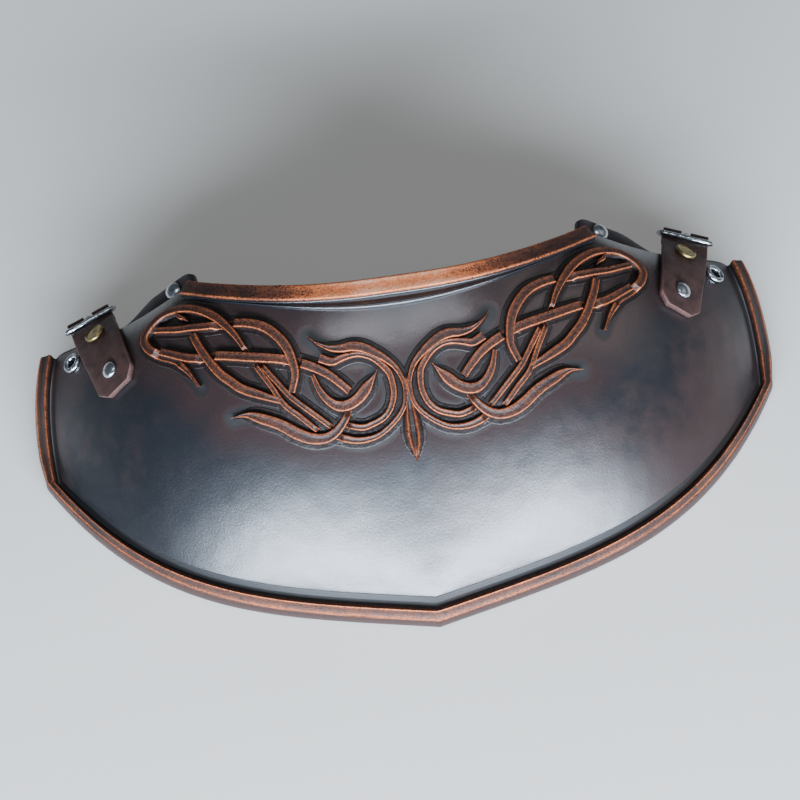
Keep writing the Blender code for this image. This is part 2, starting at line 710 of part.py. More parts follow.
def build_tab(side, name, finish):
    """A strap along the plate, its upper end folded round the buckle's middle bar."""
    loop = loop_frame(side)
    flat_end = BUCKLE_REACH + FRAME_BAR_RADIUS + TAB_FLAT_MORE
    curved = TAB_LENGTH - flat_end - TAB_BEND
    distances = [mix(TAB_CHAMFER, curved, i / TAB_STEPS) for i in range(TAB_STEPS + 1)]
    distances = [0] + distances + [TAB_LENGTH - flat_end, TAB_LENGTH]
    sections = []
    for distance in distances:
        half = TAB_WIDTH / 2 - (0 if distance else TAB_CHAMFER)
        from_loop = TAB_LENGTH - distance
        flatness = 1 - smooth((from_loop - flat_end) / TAB_BEND)
        low = []
        high = []
        for share in (-1, -0.5, 0, 0.5, 1):
            place = tab_place(side, distance, share * half)
            for edge, lift, level in ((low, GAP, -0.5), (high, GAP + TAB_THICKNESS, 0.5)):
                flat = loop @ Vector((share * half, -from_loop, level * TAB_THICKNESS))
                edge.append(lifted(place.x, place.y, lift).lerp(flat, flatness))
        sections.append(low + high[::-1])
    tab = sweep(name, sections, finish)
    bar = bar_axis(loop)
    half = TAB_WIDTH / 2 - FOLD_SET_IN
    combine(tab, cylinder("fold", loop_radius(), -half, half, bar, finish), "UNION")
    combine(tab, slot_cutter(loop, finish), "DIFFERENCE")
    bore = MIDDLE_BAR_RADIUS + GAP
    combine(tab, cylinder("bore", bore, -TAB_WIDTH, TAB_WIDTH, bar, finish), "DIFFERENCE")
    for distance in (BRASS_PLACE, STEEL_PLACE):
        frame = rivet_frame(side, distance)
        hole = cylinder("hole", SHANK_RADIUS + GAP, -TAB_WIDTH, TAB_WIDTH, frame, finish)
        combine(tab, hole, "DIFFERENCE")
    return tab


def slot_cutter(loop, finish):
    """The cutter for the tongue's slot through the fold."""
    half = TONGUE_EYE_WIDTH / 2 + SLOT_CLEARANCE
    reach = 2 * loop_radius()
    sections = []
    for y in (-SLOT_DEPTH, reach):
        sections.append([(-half, y, -reach), (half, y, -reach), (half, y, reach), (-half, y, reach)])
    return sweep("slot", sections, finish, loop)


def buckle_tilt():
    """Slope of the frame against the tab, with its near bar lying on the tab."""
    return math.asin((TAB_THICKNESS / 2 + GAP + FRAME_BAR_RADIUS) / BUCKLE_REACH)


def buckle_frame_axes(side):
    """The loop's axes turned so that Y runs to the far bar."""
    return loop_frame(side) @ Matrix.Rotation(-buckle_tilt(), 4, "X")


def bar_ring(middle, radius, first, second):
    """A ring of points round a place, in the plane of two directions."""
    angles = (2 * math.pi * k / BAR_SIDES for k in range(BAR_SIDES))
    return [middle + radius * (first * math.cos(a) + second * math.sin(a)) for a in angles]


def build_buckle_frame(side, name, finish):
    """A rounded rectangle of round bar with a middle bar through the leather fold."""
    half = TAB_WIDTH / 2 + BUCKLE_SIDE_CLEARANCE + FRAME_BAR_RADIUS
    sections = []
    for quarter in range(4):
        turn = quarter * math.pi / 2
        sign_x = 1 if quarter in (0, 3) else -1
        sign_y = 1 if quarter in (0, 1) else -1
        centre = Vector((sign_x * (half - BUCKLE_CORNER), sign_y * (BUCKLE_REACH - BUCKLE_CORNER), 0))
        for step in range(CORNER_STEPS + 1):
            angle = turn + math.pi / 2 * step / CORNER_STEPS
            out = Vector((math.cos(angle), math.sin(angle), 0))
            middle = centre + out * BUCKLE_CORNER
            sections.append(bar_ring(middle, FRAME_BAR_RADIUS, out, Vector((0, 0, 1))))
    frame = buckle_frame_axes(side)
    ring = sweep(name, sections, finish, frame, closed=True)
    bar = cylinder("bar", MIDDLE_BAR_RADIUS, -half, half, bar_axis(frame), finish)
    combine(ring, bar, "UNION")
    smooth_shade(ring)
    return ring


def build_tongue(side, name, finish):
    """A pin with an eye round the middle bar, its tip lying on the far bar."""
    frame = buckle_frame_axes(side)
    bore = MIDDLE_BAR_RADIUS + GAP
    wall = bore + TONGUE_EYE_WALL
    half = TONGUE_EYE_WIDTH / 2
    profile = ((bore, -half), (wall, -half), (wall, half), (bore, half))
    eye = turned(name, profile, finish, bar_axis(frame))
    start = Vector((0, 0, wall - TONGUE_RADIUS / 2))
    rest = FRAME_BAR_RADIUS + GAP + TONGUE_RADIUS
    end = Vector((0, BUCKLE_REACH + TONGUE_OVERHANG, rest))
    sections = []
    for share, radius in TONGUE_SHAPE:
        middle = start.lerp(end, share)
        sections.append(bar_ring(middle, TONGUE_RADIUS * radius, Vector((1, 0, 0)), Vector((0, 0, 1))))
    combine(eye, sweep("pin", sections, finish, frame), "UNION")
    smooth_shade(eye)
    return eye


def strap_twist(x):
    """How far the strap still stands off the shoulder, 1 near the neck and 0 under the tabs."""
    return 1 - smooth((abs(x) - NECK_HALF_WIDTH - STRAP_TWIST_START) / STRAP_TWIST_REACH)


def strap_rise(x, y):
    return STRAP_RISE * strap_twist(x) * max(y - upper_edge(x), 0)


def strap_outer(x):
    """Outer edge of the strap, rounded off at both ends."""
    end = half_width(1.0)
    share = max(x - (end - STRAP_END_ROUND), 0) / STRAP_END_ROUND
    start = max(1 - (x - NECK_HALF_WIDTH) / STRAP_START_ROUND, 0)
    overhang = STRAP_OVERHANG + STRAP_FLARE * strap_twist(x)
    return upper_edge(x) + overhang * math.sqrt(max(1 - share * share, 0) * max(1 - start * start, 0))


def build_strap(side, name, finish):
    """A leather strip under the shoulder edge that shows beyond it."""
    end = half_width(1.0) - GAP
    sections = []
    for i in range(STRAP_STEPS + 1):
        x = mix(NECK_HALF_WIDTH, end, (i / STRAP_STEPS) ** STRAP_BUNCHING)
        inner_x = min(x, HALF_WIDTH - STRAP_INNER_END)
        outer_y = strap_outer(x)
        inner_y = upper_edge(x) - STRAP_UNDERLAP
        low = []
        high = []
        for share in STRAP_ROWS:
            place = Vector((side * mix(inner_x, x, share), mix(inner_y, outer_y, share)))
            across = abs(shares_at(place.x, place.y)[0])
            drop = STRAP_EDGE_DROP * smooth((across - STRAP_DROP_START) / STRAP_DROP_REACH)
            shift = Vector((0, 0, strap_rise(place.x, place.y) - drop))
            level = PLATE_THICKNESS + STRAP_GAP
            high.append(lifted(place.x, place.y, -level) + shift)
            low.append(lifted(place.x, place.y, -level - STRAP_THICKNESS) + shift)
        sections.append(low + high[::-1])
    return sweep(name, sections, finish)


def cap_profile(seat, radius, height, foot):
    """A rivet: cap on its seat, shank, and back cap under the foot."""
    back = foot - BACK_CAP_HEIGHT
    return ((0, back), (BACK_CAP_RADIUS * BACK_CAP_BEVEL, back), (BACK_CAP_RADIUS, foot),
            (SHANK_RADIUS, foot), (SHANK_RADIUS, seat), (radius, seat),
            (radius * CAP_EDGE_RADIUS, seat + height * CAP_EDGE_HEIGHT),
            (radius * CAP_BROW_RADIUS, seat + height * CAP_BROW_HEIGHT), (0, seat + height))


def solid_turned(name, profile, finish, frame):
    """Turn a profile that ends on the axis at both ends."""
    steps = TURN_STEPS
    points = []
    for radius, z in profile[1:-1]:
        points.extend((radius * math.cos(2 * math.pi * i / steps),
                       radius * math.sin(2 * math.pi * i / steps), z) for i in range(steps))
    faces = []
    rings = len(profile) - 2
    for ring in range(rings - 1):
        for i in range(steps):
            k = (i + 1) % steps
            faces.append((ring * steps + i, ring * steps + k,
                          (ring + 1) * steps + k, (ring + 1) * steps + i))
    points.append((0, 0, profile[0][1]))
    points.append((0, 0, profile[-1][1]))
    foot, crown = len(points) - 2, len(points) - 1
    for i in range(steps):
        k = (i + 1) % steps
        faces.append((foot, k, i))
        faces.append((crown, (rings - 1) * steps + i, (rings - 1) * steps + k))
    body = add_object(name, points, faces, finish, frame)
    smooth_shade(body)
    return body


def under_strap():
    """Depth of the strap's underside below the plate's surface."""
    return PLATE_THICKNESS + STRAP_GAP + STRAP_THICKNESS + BACK_GAP


def dome_frame(side):
    x = side * (NECK_HALF_WIDTH + DOME_PAST_NECK)
    y = upper_edge(x) + DOME_PAST_EDGE
    frame = seat_frame(x, y, 0, (0, 1))
    frame.translation.z += strap_rise(x, y)
    return frame @ Matrix.Rotation(math.atan(STRAP_RISE * strap_twist(x)), 4, "X")


def eyelet_frame(side):
    across = TAB_WIDTH / 2 + EYELET_TAB_CLEARANCE + EYELET_FLANGE_RADIUS
    place = tab_place(side, EYELET_PLACE, side * across)
    return seat_frame(place.x, place.y, 0, tab_direction(side))


def build_rivets(side, label, finishes):
    tab_top = TAB_THICKNESS + 2 * GAP
    low = -under_strap() - STRAP_EDGE_DROP
    under_plate = -PLATE_THICKNESS - BACK_GAP
    brass = cap_profile(tab_top, BRASS_CAP_RADIUS, BRASS_CAP_HEIGHT, low)
    solid_turned("tab_brass_rivet_" + label, brass, finishes["brass"], rivet_frame(side, BRASS_PLACE))
    steel = cap_profile(tab_top, STEEL_CAP_RADIUS, STEEL_CAP_HEIGHT, under_plate)
    solid_turned("tab_steel_rivet_" + label, steel, finishes["steel"], rivet_frame(side, STEEL_PLACE))
    dome = cap_profile(-PLATE_THICKNESS, DOME_CAP_RADIUS, DOME_CAP_HEIGHT, -under_strap())
    solid_turned("shoulder_rivet_" + label, dome, finishes["steel"], dome_frame(side))


def build_eyelet(side, name, finish):
    """A steel ring with a flange on the plate and a smaller one under the strap."""
    back = -under_strap() - STRAP_EDGE_DROP
    flange, barrel, bore = EYELET_FLANGE_RADIUS, EYELET_BARREL_RADIUS, EYELET_BORE_RADIUS
    back_flange = flange * EYELET_BACK_RADIUS
    edge = GAP + EYELET_HEIGHT * EYELET_EDGE_HEIGHT
    profile = ((bore, back - EYELET_BACK_HEIGHT), (back_flange, back - EYELET_BACK_HEIGHT),
               (back_flange, back), (barrel, back), (barrel, GAP), (flange, GAP),
               (flange * EYELET_EDGE_RADIUS, edge), ((bore + flange) / 2, GAP + EYELET_HEIGHT),
               (bore * EYELET_MOUTH, edge), (bore, -GAP))
    eyelet = turned(name, profile, finish, eyelet_frame(side))
    smooth_shade(eyelet)
    return eyelet


def cut_hole(body, frame, radius, finish):
    depth = 2 * PLATE_THICKNESS + 2 * STRAP_THICKNESS
    combine(body, cylinder("hole", radius + GAP, -depth, depth, frame, finish), "DIFFERENCE")


def centre_on_floor():
    """Shift every piece so that the origin lies under the middle of the whole."""
    bpy.context.view_layer.update()
    bodies = [body for body in bpy.data.objects if body.type == "MESH"]
    depths = [(body.matrix_world @ vertex.co).y for body in bodies for vertex in body.data.vertices]
    shift = Vector((0, -(min(depths) + max(depths)) / 2, 0))
    for body in bodies:
        body.location += shift


def main():
    for old in list(bpy.data.objects):
        bpy.data.objects.remove(old)
    hide = material("moulded_leather", (0.022, 0.020, 0.021), 0.32, 0.0)
    copper = material("copper_rubbed_leather", (0.16, 0.055, 0.030), 0.40, 0.3)
    tab_leather = material("brown_tab_leather", (0.048, 0.026, 0.022), 0.55, 0.0)
    strap_leather = material("dark_strap_leather", (0.020, 0.014, 0.013), 0.60, 0.0)
    finishes = {"brass": material("aged_brass", (0.35, 0.26, 0.11), 0.30, 1.0),
                "steel": material("bright_steel", (0.55, 0.57, 0.60), 0.25, 1.0)}

    places = grid_places()
    plate = build_plate(places, hide)
    build_outer_border(places, copper)
    build_neck_border(copper)
    build_knotwork(copper)
    for side, label in ((-1, "left"), (1, "right")):
        strap = build_strap(side, "shoulder_strap_" + label, strap_leather)
        build_tab(side, "tab_" + label, tab_leather)
        build_buckle_frame(side, "buckle_frame_" + label, finishes["steel"])
        build_tongue(side, "buckle_tongue_" + label, finishes["steel"])
        build_rivets(side, label, finishes)
        build_eyelet(side, "eyelet_" + label, finishes["steel"])
        cut_hole(plate, rivet_frame(side, STEEL_PLACE), SHANK_RADIUS, hide)
        cut_hole(strap, dome_frame(side), SHANK_RADIUS, strap_leather)
        for body, finish in ((plate, hide), (strap, strap_leather)):
            cut_hole(body, rivet_frame(side, BRASS_PLACE), SHANK_RADIUS, finish)
            cut_hole(body, eyelet_frame(side), EYELET_BARREL_RADIUS, finish)
    centre_on_floor()


if __name__ == "__main__":
    main()
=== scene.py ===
"""Dresses the leather gorget: moulded plate, borders, knotwork, tabs, buckles, rivets, eyelets and straps."""

import math
from types import SimpleNamespace

import bpy
from bpy.props import FloatProperty, FloatVectorProperty, PointerProperty
from mathutils import Matrix, Vector, kdtree, noise


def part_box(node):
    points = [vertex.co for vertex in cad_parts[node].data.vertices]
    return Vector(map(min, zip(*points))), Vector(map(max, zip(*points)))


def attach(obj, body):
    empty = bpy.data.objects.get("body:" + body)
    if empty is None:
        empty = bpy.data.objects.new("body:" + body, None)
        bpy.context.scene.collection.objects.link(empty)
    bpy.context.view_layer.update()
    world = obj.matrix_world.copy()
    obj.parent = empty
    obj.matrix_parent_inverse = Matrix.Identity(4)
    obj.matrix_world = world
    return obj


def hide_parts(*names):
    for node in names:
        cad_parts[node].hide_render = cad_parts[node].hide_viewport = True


bl_info = {
    "name": "Leather gorget",
    "version": (1, 0, 0),
    "blender": (4, 5, 0),
    "location": "3D View > Sidebar > Gorget",
    "description": "Models and finishes a moulded leather gorget on its measured frame",
    "category": "Add Mesh",
}

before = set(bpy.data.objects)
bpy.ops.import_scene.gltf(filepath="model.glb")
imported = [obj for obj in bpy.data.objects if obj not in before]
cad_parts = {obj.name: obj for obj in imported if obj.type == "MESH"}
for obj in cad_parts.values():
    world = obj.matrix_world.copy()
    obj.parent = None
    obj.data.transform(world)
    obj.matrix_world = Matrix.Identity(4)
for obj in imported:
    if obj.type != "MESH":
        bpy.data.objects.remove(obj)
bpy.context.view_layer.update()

MM = 0.001
GAP = 0.3 * MM
SIDES = {"left": -1, "right": 1}

# How finely the pieces are laid
PLATE_COLUMNS = 250
PLATE_ROWS = 104
RIM_SIDE_STEPS = 80
RIM_LOW_STEPS = 340
NECK_STEPS = 210
SPEAR_STEPS = 60
TAB_STEPS = 44
FOLD_STEPS = 14
STRAP_STEPS = 60

# Where the pressing beside the knot begins, from the middle of a band, and how far the brown round it reaches
HALO_START = 2.4 * MM
WARM_START = 4 * MM
WARM_REACH = 20 * MM

# Where the face begins to waver, in from the edge, over how much, and how fast it calms near the neck
WAVER_START = 12 * MM
WAVER_OVER = 6 * MM
WAVER_CALM = 12

# At the sides the border's walls turn upright and its top turns level, by these shares; its top wavers less
SIDE_UPRIGHT = 0.85
SIDE_LEVEL = 0.8
RIM_WAVER = 0.7

# The neck band's copper, with the painted highlight in its middle, fades from here outwards, and only its first
# points carry any
WAX_AND_HIGHLIGHT_START = 15 * MM
WAX_AND_HIGHLIGHT_OVER = 55 * MM
WAXED_POINTS = 13

# A band's flat top as a share of its width, how rough its walls and top are cut, and the size of the cuts
FLAT_TOP = 0.84
WALL_CUTS = 0.13
TOP_CUTS = 0.05
CUT_SIZE = 1.7 * MM

# Where a band that runs under another begins to rise again beside it, and over how much
CROSSING_CLEAR = 0.5 * MM
CROSSING_OVER = 1.3 * MM

# The spear's top as a share of the knot's length, and its height as a share of the bands'
SPEAR_REACH = 0.33
SPEAR_LOW = 0.95

# Dents of the hammered buckles
DENT_SIZE = 1.6 * MM
DENT_DEPTH = 0.12 * MM

# Shares across between which the straps fall below the thick side edge, and their sections crowd near the neck
DROP_START = 0.85
DROP_OVER = 0.1
STRAP_CROWDING = 0.8

# Probe of the surface, as a share of a column or row, from which its real lengths are taken
PROBE = 0.05

# The camera, fitted to the outline in the photo: azimuth, elevation and roll in degrees, distance in metres,
# and the picture's middle in pixels of its 800
VIEW_ANGLES = (-2, 58, -6.28)
VIEW_DISTANCE = 0.9
VIEW_SHIFT = (-11.6, 40.5)
PICTURE_SIZE = 800

# Studio lamps: azimuth and elevation in degrees, distance, width and height in metres, watts and colour
LAMP_AIM = (0, -0.02, 0.03)
LAMPS = {
    "front_softbox": (0, 20.5, 1.3, 2.3, 0.2, 115, "#dceafc"),
    "front_glow": (-6, 24, 1.35, 3.0, 0.45, 7, "#cfe2fb"),
    "top_softbox": (10, 88, 1.25, 0.8, 0.3, 4, "#eaf0f8"),
    "side_fill": (100, 40, 1.6, 0.9, 0.9, 1.6, "#f4efe8"),
}


def linear(code):
    """An sRGB hex colour as linear red, green, blue and alpha."""
    values = [int(code[i:i + 2], 16) / 255 for i in (1, 3, 5)]
    return [v / 12.92 if v <= 0.04045 else ((v + 0.055) / 1.055) ** 2.4 for v in values] + [1.0]


def length(name, size, description):
    return FloatProperty(name=name, description=description, default=size * MM, unit="LENGTH", precision=4)


def share(name, value, description):
    return FloatProperty(name=name, description=description, default=value)


def colour(name, code, description):
    return FloatVectorProperty(name=name, description=description, default=linear(code),
                               size=4, subtype="COLOR", min=0, max=1)


# Sizes and colours

class GorgetPlateSizes(bpy.types.PropertyGroup):
    half_width: length("Half width", 173, "Centre line to a side corner")
    side_bulge: length("Side bulge", 3.7, "Swell of the side edge between its corners")
    corner_inset: length("Corner inset", 2.5, "Outer shoulder corner, in from the side corner")
    tip_depth: length("Tip depth", 100.5, "Side corners to the tip")
    tip_roundness: share("Tip roundness", 0.38, "Share of the lower edge's fall that is straight")
    neck_half: length("Neck half width", 91, "Centre line to a neck corner")
    neck_depth: length("Neck depth", 27.5, "Side corners to the middle of the neck edge")
    neck_corner: length("Neck corner", 58, "Side corners to a neck corner")
    neck_curve: share("Neck curve", 2.4, "Power of the neck edge's curve")
    outer_corner: length("Outer corner", 62, "Side corners to an outer shoulder corner")
    shoulder_dip: length("Shoulder dip", 3.5, "Hollow of the shoulder edge")
    crest: length("Crest height", 92, "Highest line of the surface above the edge")
    crown_power: share("Crown power", 1.9, "Fall of the crest towards the sides")
    crest_middle: share("Crest in the middle", 1.23, "Crest place up a column, as a share of its length")
    crest_shoulder: share("Crest at the shoulder", 0.80, "The same at the shoulders")
    crest_blend: share("Crest blend", 0.75, "Share across at which the shoulder's crest is reached")
    shoulder_roll: share("Shoulder roll", 0.12, "Share of the height lost behind the shoulder's crest")
    roll_start: share("Roll start", 0.42, "Share across at which the shoulder begins to roll off")
    roll_full: share("Roll full", 0.78, "Share across at which it does so fully")
    roll_line: share("Roll line", 0.85, "Highest share up at which the roll begins")
    corner_lift: length("Corner lift", 14, "Outer shoulder corner above the floor")
    thickness: length("Leather thickness", 4.5, "Thickness of the moulded plate")
    draft_tip: length("Draft at the tip", -0.7, "Floor edge outside the top edge, at the tip")
    draft_side: length("Draft at the sides", 2.0, "The same, along the sides")
    groove_width: length("Groove width", 4.5, "Groove inside the border")
    groove_depth: length("Groove depth", 1.8, "Depth of that groove")
    tip_softness: share("Tip softness", 0.09, "Rounding of the field behind the tip, as a share across")
    neck_softness: length("Neck softness", 20, "Rounding of the field below the neck corners")
    halo_depth: length("Halo depth", 0.12, "How deep the leather is pressed down beside the knot")
    halo_reach: length("Halo reach", 6.5, "From the middle of a band to where it is level again")
    unevenness: length("Unevenness", 0.16, "How far the hand-moulded face wavers")


class GorgetReliefSizes(bpy.types.PropertyGroup):
    border_width: length("Border width", 8, "Raised border along the sides and the lower edge")
    border_height: length("Border height", 3.5, "Height of that border")
    band_width: length("Neck band width", 7.5, "Raised band along the neck edge")
    band_height: length("Neck band height", 3.2, "Height of that band")
    cove_width: length("Cove width", 3.0, "Hollow below the neck band")
    cove_height: length("Cove height", 1.0, "Floor of that hollow above the field")
    ridge_width: length("Ridge width", 3.2, "Round ridge below the hollow")
    ridge_height: length("Ridge height", 2.2, "Height of that ridge")
    fade_reach: length("Fade reach", 75, "Hollow and ridge fade out towards the corners by here")
    knot_past_neck: length("Knot past the neck", 25, "Outer loops, outside the neck corners")
    knot_length: length("Knot length", 92, "Top of the outer loops to the spear's tip")
    knot_top_fall: length("Knot top", 12, "Top of the outer loops, below the neck corners' line")
    knot_height: length("Knot height", 2.8, "Height of the bands above the field")
    crossing_drop: length("Crossing drop", 2.3, "How far a band sinks where it runs under another")
    section_step: length("Section step", 0.75, "Distance between two sections of a band")


class GorgetFittingSizes(bpy.types.PropertyGroup):
    tab_share: share("Tab place", 0.462, "Tab's foot, from a neck corner to a side corner")
    tab_fall: length("Tab foot", 38, "Tab's foot, below the neck corners' line")
    tab_lean: FloatProperty(name="Tab lean", description="Turn of the tab towards the outside",
                            default=math.radians(16.5), unit="ROTATION")
    tab_length: length("Tab length", 57, "Foot to the buckle's middle bar, seen from above")
    tab_width: length("Tab width", 22.5, "Width of the tab")
    tab_thickness: length("Tab thickness", 3.0, "Thickness of the tab")
    tab_chamfer: length("Tab chamfer", 4.5, "Cut lower corners of the tab")
    tab_flat: length("Flat end", 10.8, "Stretch below the fold that stays flat")
    tab_bend: length("Tab bend", 4, "Stretch in which it bends to the plate")
    fold_radius: length("Fold radius", 3.1, "Outside of the fold round the middle bar")
    slot_width: length("Slot width", 4.6, "Slot for the tongue")
    slot_depth: length("Slot depth", 4.0, "Slot, from the middle bar towards the tab's foot")
    buckle_reach: length("Buckle reach", 8.5, "Middle bar to the near or far bar")
    buckle_half: length("Buckle half width", 12.75, "Middle of the buckle to a side bar")
    buckle_corner: length("Buckle corner", 3.0, "Corner radius of the buckle")
    bar_radius: length("Bar radius", 1.1, "Radius of the buckle's outer bars")
    bar_swell: length("Bar swell", 0.15, "How much thicker hammering has made them")
    middle_radius: length("Middle bar radius", 1.0, "Radius of the middle bar")
    tongue_radius: length("Tongue radius", 0.8, "Radius of the tongue")
    tongue_eye: length("Tongue eye", 3.4, "Width of the tongue's eye")
    tongue_past: length("Tongue past", 1.6, "Tongue tip beyond the far bar's middle")
    brass_radius: length("Brass cap radius", 5.2, "Upper rivet of a tab")
    brass_height: length("Brass cap height", 1.8, "Its height")
    brass_place: length("Brass rivet place", 37.5, "Its distance from the tab's foot")
    steel_radius: length("Steel cap radius", 4.0, "Lower rivet of a tab")
    steel_height: length("Steel cap height", 2.2, "Its height")
    steel_place: length("Steel rivet place", 10.5, "Its distance from the tab's foot")
    dome_radius: length("Dome cap radius", 4.2, "Rivet on the strap")
    dome_height: length("Dome cap height", 2.6, "Its height")
    dome_past_neck: length("Dome across", 12, "Its place outside a neck corner")
    dome_past_edge: length("Dome past edge", 6, "Its place beyond the shoulder edge")
    shank_radius: length("Shank radius", 1.6, "Shank of every rivet")
    back_radius: length("Back cap radius", 3.6, "Back cap of every rivet")
    back_height: length("Back cap height", 1.0, "Its height")
    back_gap: length("Back gap", 0.7, "Between a curved underside and a flat back cap")
    eyelet_place: length("Eyelet place", 38.5, "Its distance from the tab's foot")
    eyelet_clearance: length("Eyelet clearance", 0.5, "Between the tab and the eyelet")
    eyelet_radius: length("Eyelet radius", 5.2, "Flange of the eyelet")
    eyelet_barrel: length("Eyelet barrel", 3.6, "Outside of its barrel")
    eyelet_bore: length("Eyelet bore", 2.6, "Radius of its hole")
    eyelet_height: length("Eyelet height", 1.5, "Height of its flange")
    strap_under: length("Strap underlap", 20, "Strap below the shoulder edge, inwards")
    strap_over: length("Strap overhang", 11, "Strap beyond the shoulder edge")
    strap_flare: length("Strap flare", 4, "More overhang near the neck")
    strap_rise: share("Strap rise", 0.55, "Slope by which it stands off the shoulder near the neck")
    strap_twist: length("Strap twist", 22, "Distance from a neck corner to where that fades, and over which")
    strap_thickness: length("Strap thickness", 2.5, "Thickness of the strap")
    strap_round: length("Strap rounding", 14, "Length over which its outer end is rounded")
    strap_start: length("Strap start", 12, "Length over which its neck end is rounded")
    strap_inner: length("Strap inner end", 9, "Its end, in from the side corner")
    strap_gap: length("Strap gap", 0.8, "Between the plate and the strap")
    strap_drop: length("Strap drop", 1.8, "Extra fall under the thick side edge")


class GorgetColours(bpy.types.PropertyGroup):
    field_black: colour("Field black", "#14161b", "Black dye of the plate")
    field_brown: colour("Field brown", "#2e2120", "Brown leather where the dye is thin")
    # Painted shade as well as dye: the near-black laid in the groove inside the border and on the leather beside the
    # knot's bands
    deep_dye_and_shade: colour("Field deep", "#070607", "Dye gathered beside raised work")
    flesh_side: colour("Flesh side", "#5b4234", "Underside of the plate")
    copper_bright: colour("Copper bright", "#c56d3f", "Wax rubbed on the edges of raised work")
    # Painted highlight as well as wax: this pale copper shows where the copper lies thickest, chiefly on the middle
    # of the neck band
    pale_copper_and_highlight: colour("Copper pale", "#dba988", "Wax built up and polished on the neck band")
    copper_dull: colour("Copper dull", "#6b3d2a", "Wax rubbed thin over its faces")
    relief_dark: colour("Relief dark", "#1a1110", "Dye left in the pits and on the walls")
    wall_red: colour("Wall", "#341b17", "Outer wall of the border")
    tab_brown: colour("Tab brown", "#412b27", "Face of the tabs")
    tab_cut: colour("Tab cut edge", "#644842", "Cut edge of the tabs")
    strap_brown: colour("Strap brown", "#251b1a", "Face of the straps")
    steel: colour("Steel", "#c3c9cf", "Rivets, eyelets and buckles")
    steel_dark: colour("Steel dark", "#55595e", "Dirt in the steel's hollows")
    brass: colour("Brass", "#9c8a5c", "Upper rivets of the tabs")
    brass_dark: colour("Brass dark", "#4a3f22", "Tarnish on them")
    floor: colour("Floor", "#e8e4dc", "Studio floor")


# Bands of one half of the knot: half widths in mm along the band, bands it runs under, and
# its route as shares (across the half width, up the length from the spear's tip)
BANDS = {
    "outer_loop": ((1.0, 2.0, 2.1, 2.0, 0.5), ("crossbar",), (
        (.584, .605), (.612, .685), (.647, .761), (.690, .837), (.741, .902), (.810, .962),
        (.888, .989), (.948, .967), (.987, .908), (.974, .837), (.931, .772), (.879, .717),
        (.841, .658), (.810, .598), (.784, .533))),
    "upper_arc": ((1.5, 1.8, 2.1, 2.2, 1.6), ("outer_loop",), (
        (.940, .918), (.845, .859), (.784, .832), (.724, .804), (.664, .783), (.612, .761),
        (.560, .734), (.509, .696), (.466, .641), (.431, .571), (.414, .500), (.409, .435),
        (.431, .364))),
    "crossbar": ((1.7, 2.0, 2.1, 2.0, 1.6), ("upper_arc", "strut"), (
        (.922, .783), (.875, .739), (.832, .701), (.784, .668), (.707, .641), (.569, .571),
        (.440, .511), (.353, .457), (.293, .408), (.250, .359), (.216, .315))),
    "strut": ((1.6, 1.8, 1.9, 1.9, 1.2), ("upper_arc",), (
        (.793, .826), (.772, .739), (.750, .674), (.724, .609), (.694, .549), (.659, .500),
        (.621, .451), (.569, .408), (.517, .370), (.474, .342))),
    "outer_slat": ((1.0, 1.1, 1.1, 1.1, 1.0), ("crossbar", "lower_band"), (
        (.574, .576), (.548, .511), (.509, .424), (.466, .326), (.414, .261), (.353, .185))),
    "inner_slat": ((1.0, 1.1, 1.1, 1.1, 1.0), ("crossbar", "lower_band"), (
        (.560, .576), (.522, .500), (.487, .435), (.440, .353), (.384, .283), (.293, .180))),
    "hook": ((0.9, 1.6, 2.2, 2.5, 0.15), (), (
        (.345, .413), (.328, .348), (.302, .299), (.267, .266), (.228, .261), (.190, .277),
        (.155, .310), (.129, .342), (.103, .380))),
    "lower_band": ((0.15, 2.1, 2.4, 2.0, 1.5), ("hook",), (
        (.672, .342), (.612, .332), (.552, .293), (.491, .250), (.431, .196), (.379, .163),
        (.328, .152), (.284, .168), (.246, .207), (.224, .250))),
    "outer_scroll": ((0.15, 2.2, 1.0, 1.0, 1.5), ("lower_band",), (
        (.345, .587), (.310, .543), (.267, .511), (.224, .500), (.190, .500), (.151, .489),
        (.112, .462), (.069, .424), (.034, .380), (.013, .326), (.009, .283), (.017, .228),
        (.043, .185), (.078, .152), (.121, .125), (.164, .114), (.224, .120), (.310, .160))),
    "inner_scroll": ((1.9, 1.1, 1.4, 1.2, 1.2), ("lower_band",), (
        (.310, .478), (.267, .451), (.233, .457), (.194, .462), (.155, .457), (.116, .435),
        (.086, .402), (.060, .359), (.052, .304), (.056, .261), (.073, .217), (.103, .185),
        (.147, .168), (.190, .163), (.259, .190))),
    "leaf": ((0.15, 0.8, 0.9, 0.5, 0.15), (), (
        (.845, .958), (.832, .925), (.815, .905), (.800, .880))),
}


# The form that everything follows

def smooth(value):
    value = min(max(value, 0.0), 1.0)
    return value * value * (3 - 2 * value)


def mix(low, high, part):
    return low + (high - low) * part


def plain(group):
    """A group's sizes as plain numbers, or its colours as plain lists."""
    values = {key: getattr(group, key) for key in group.__annotations__}
    return SimpleNamespace(**{key: value if isinstance(value, float) else tuple(value)
                              for key, value in values.items()})


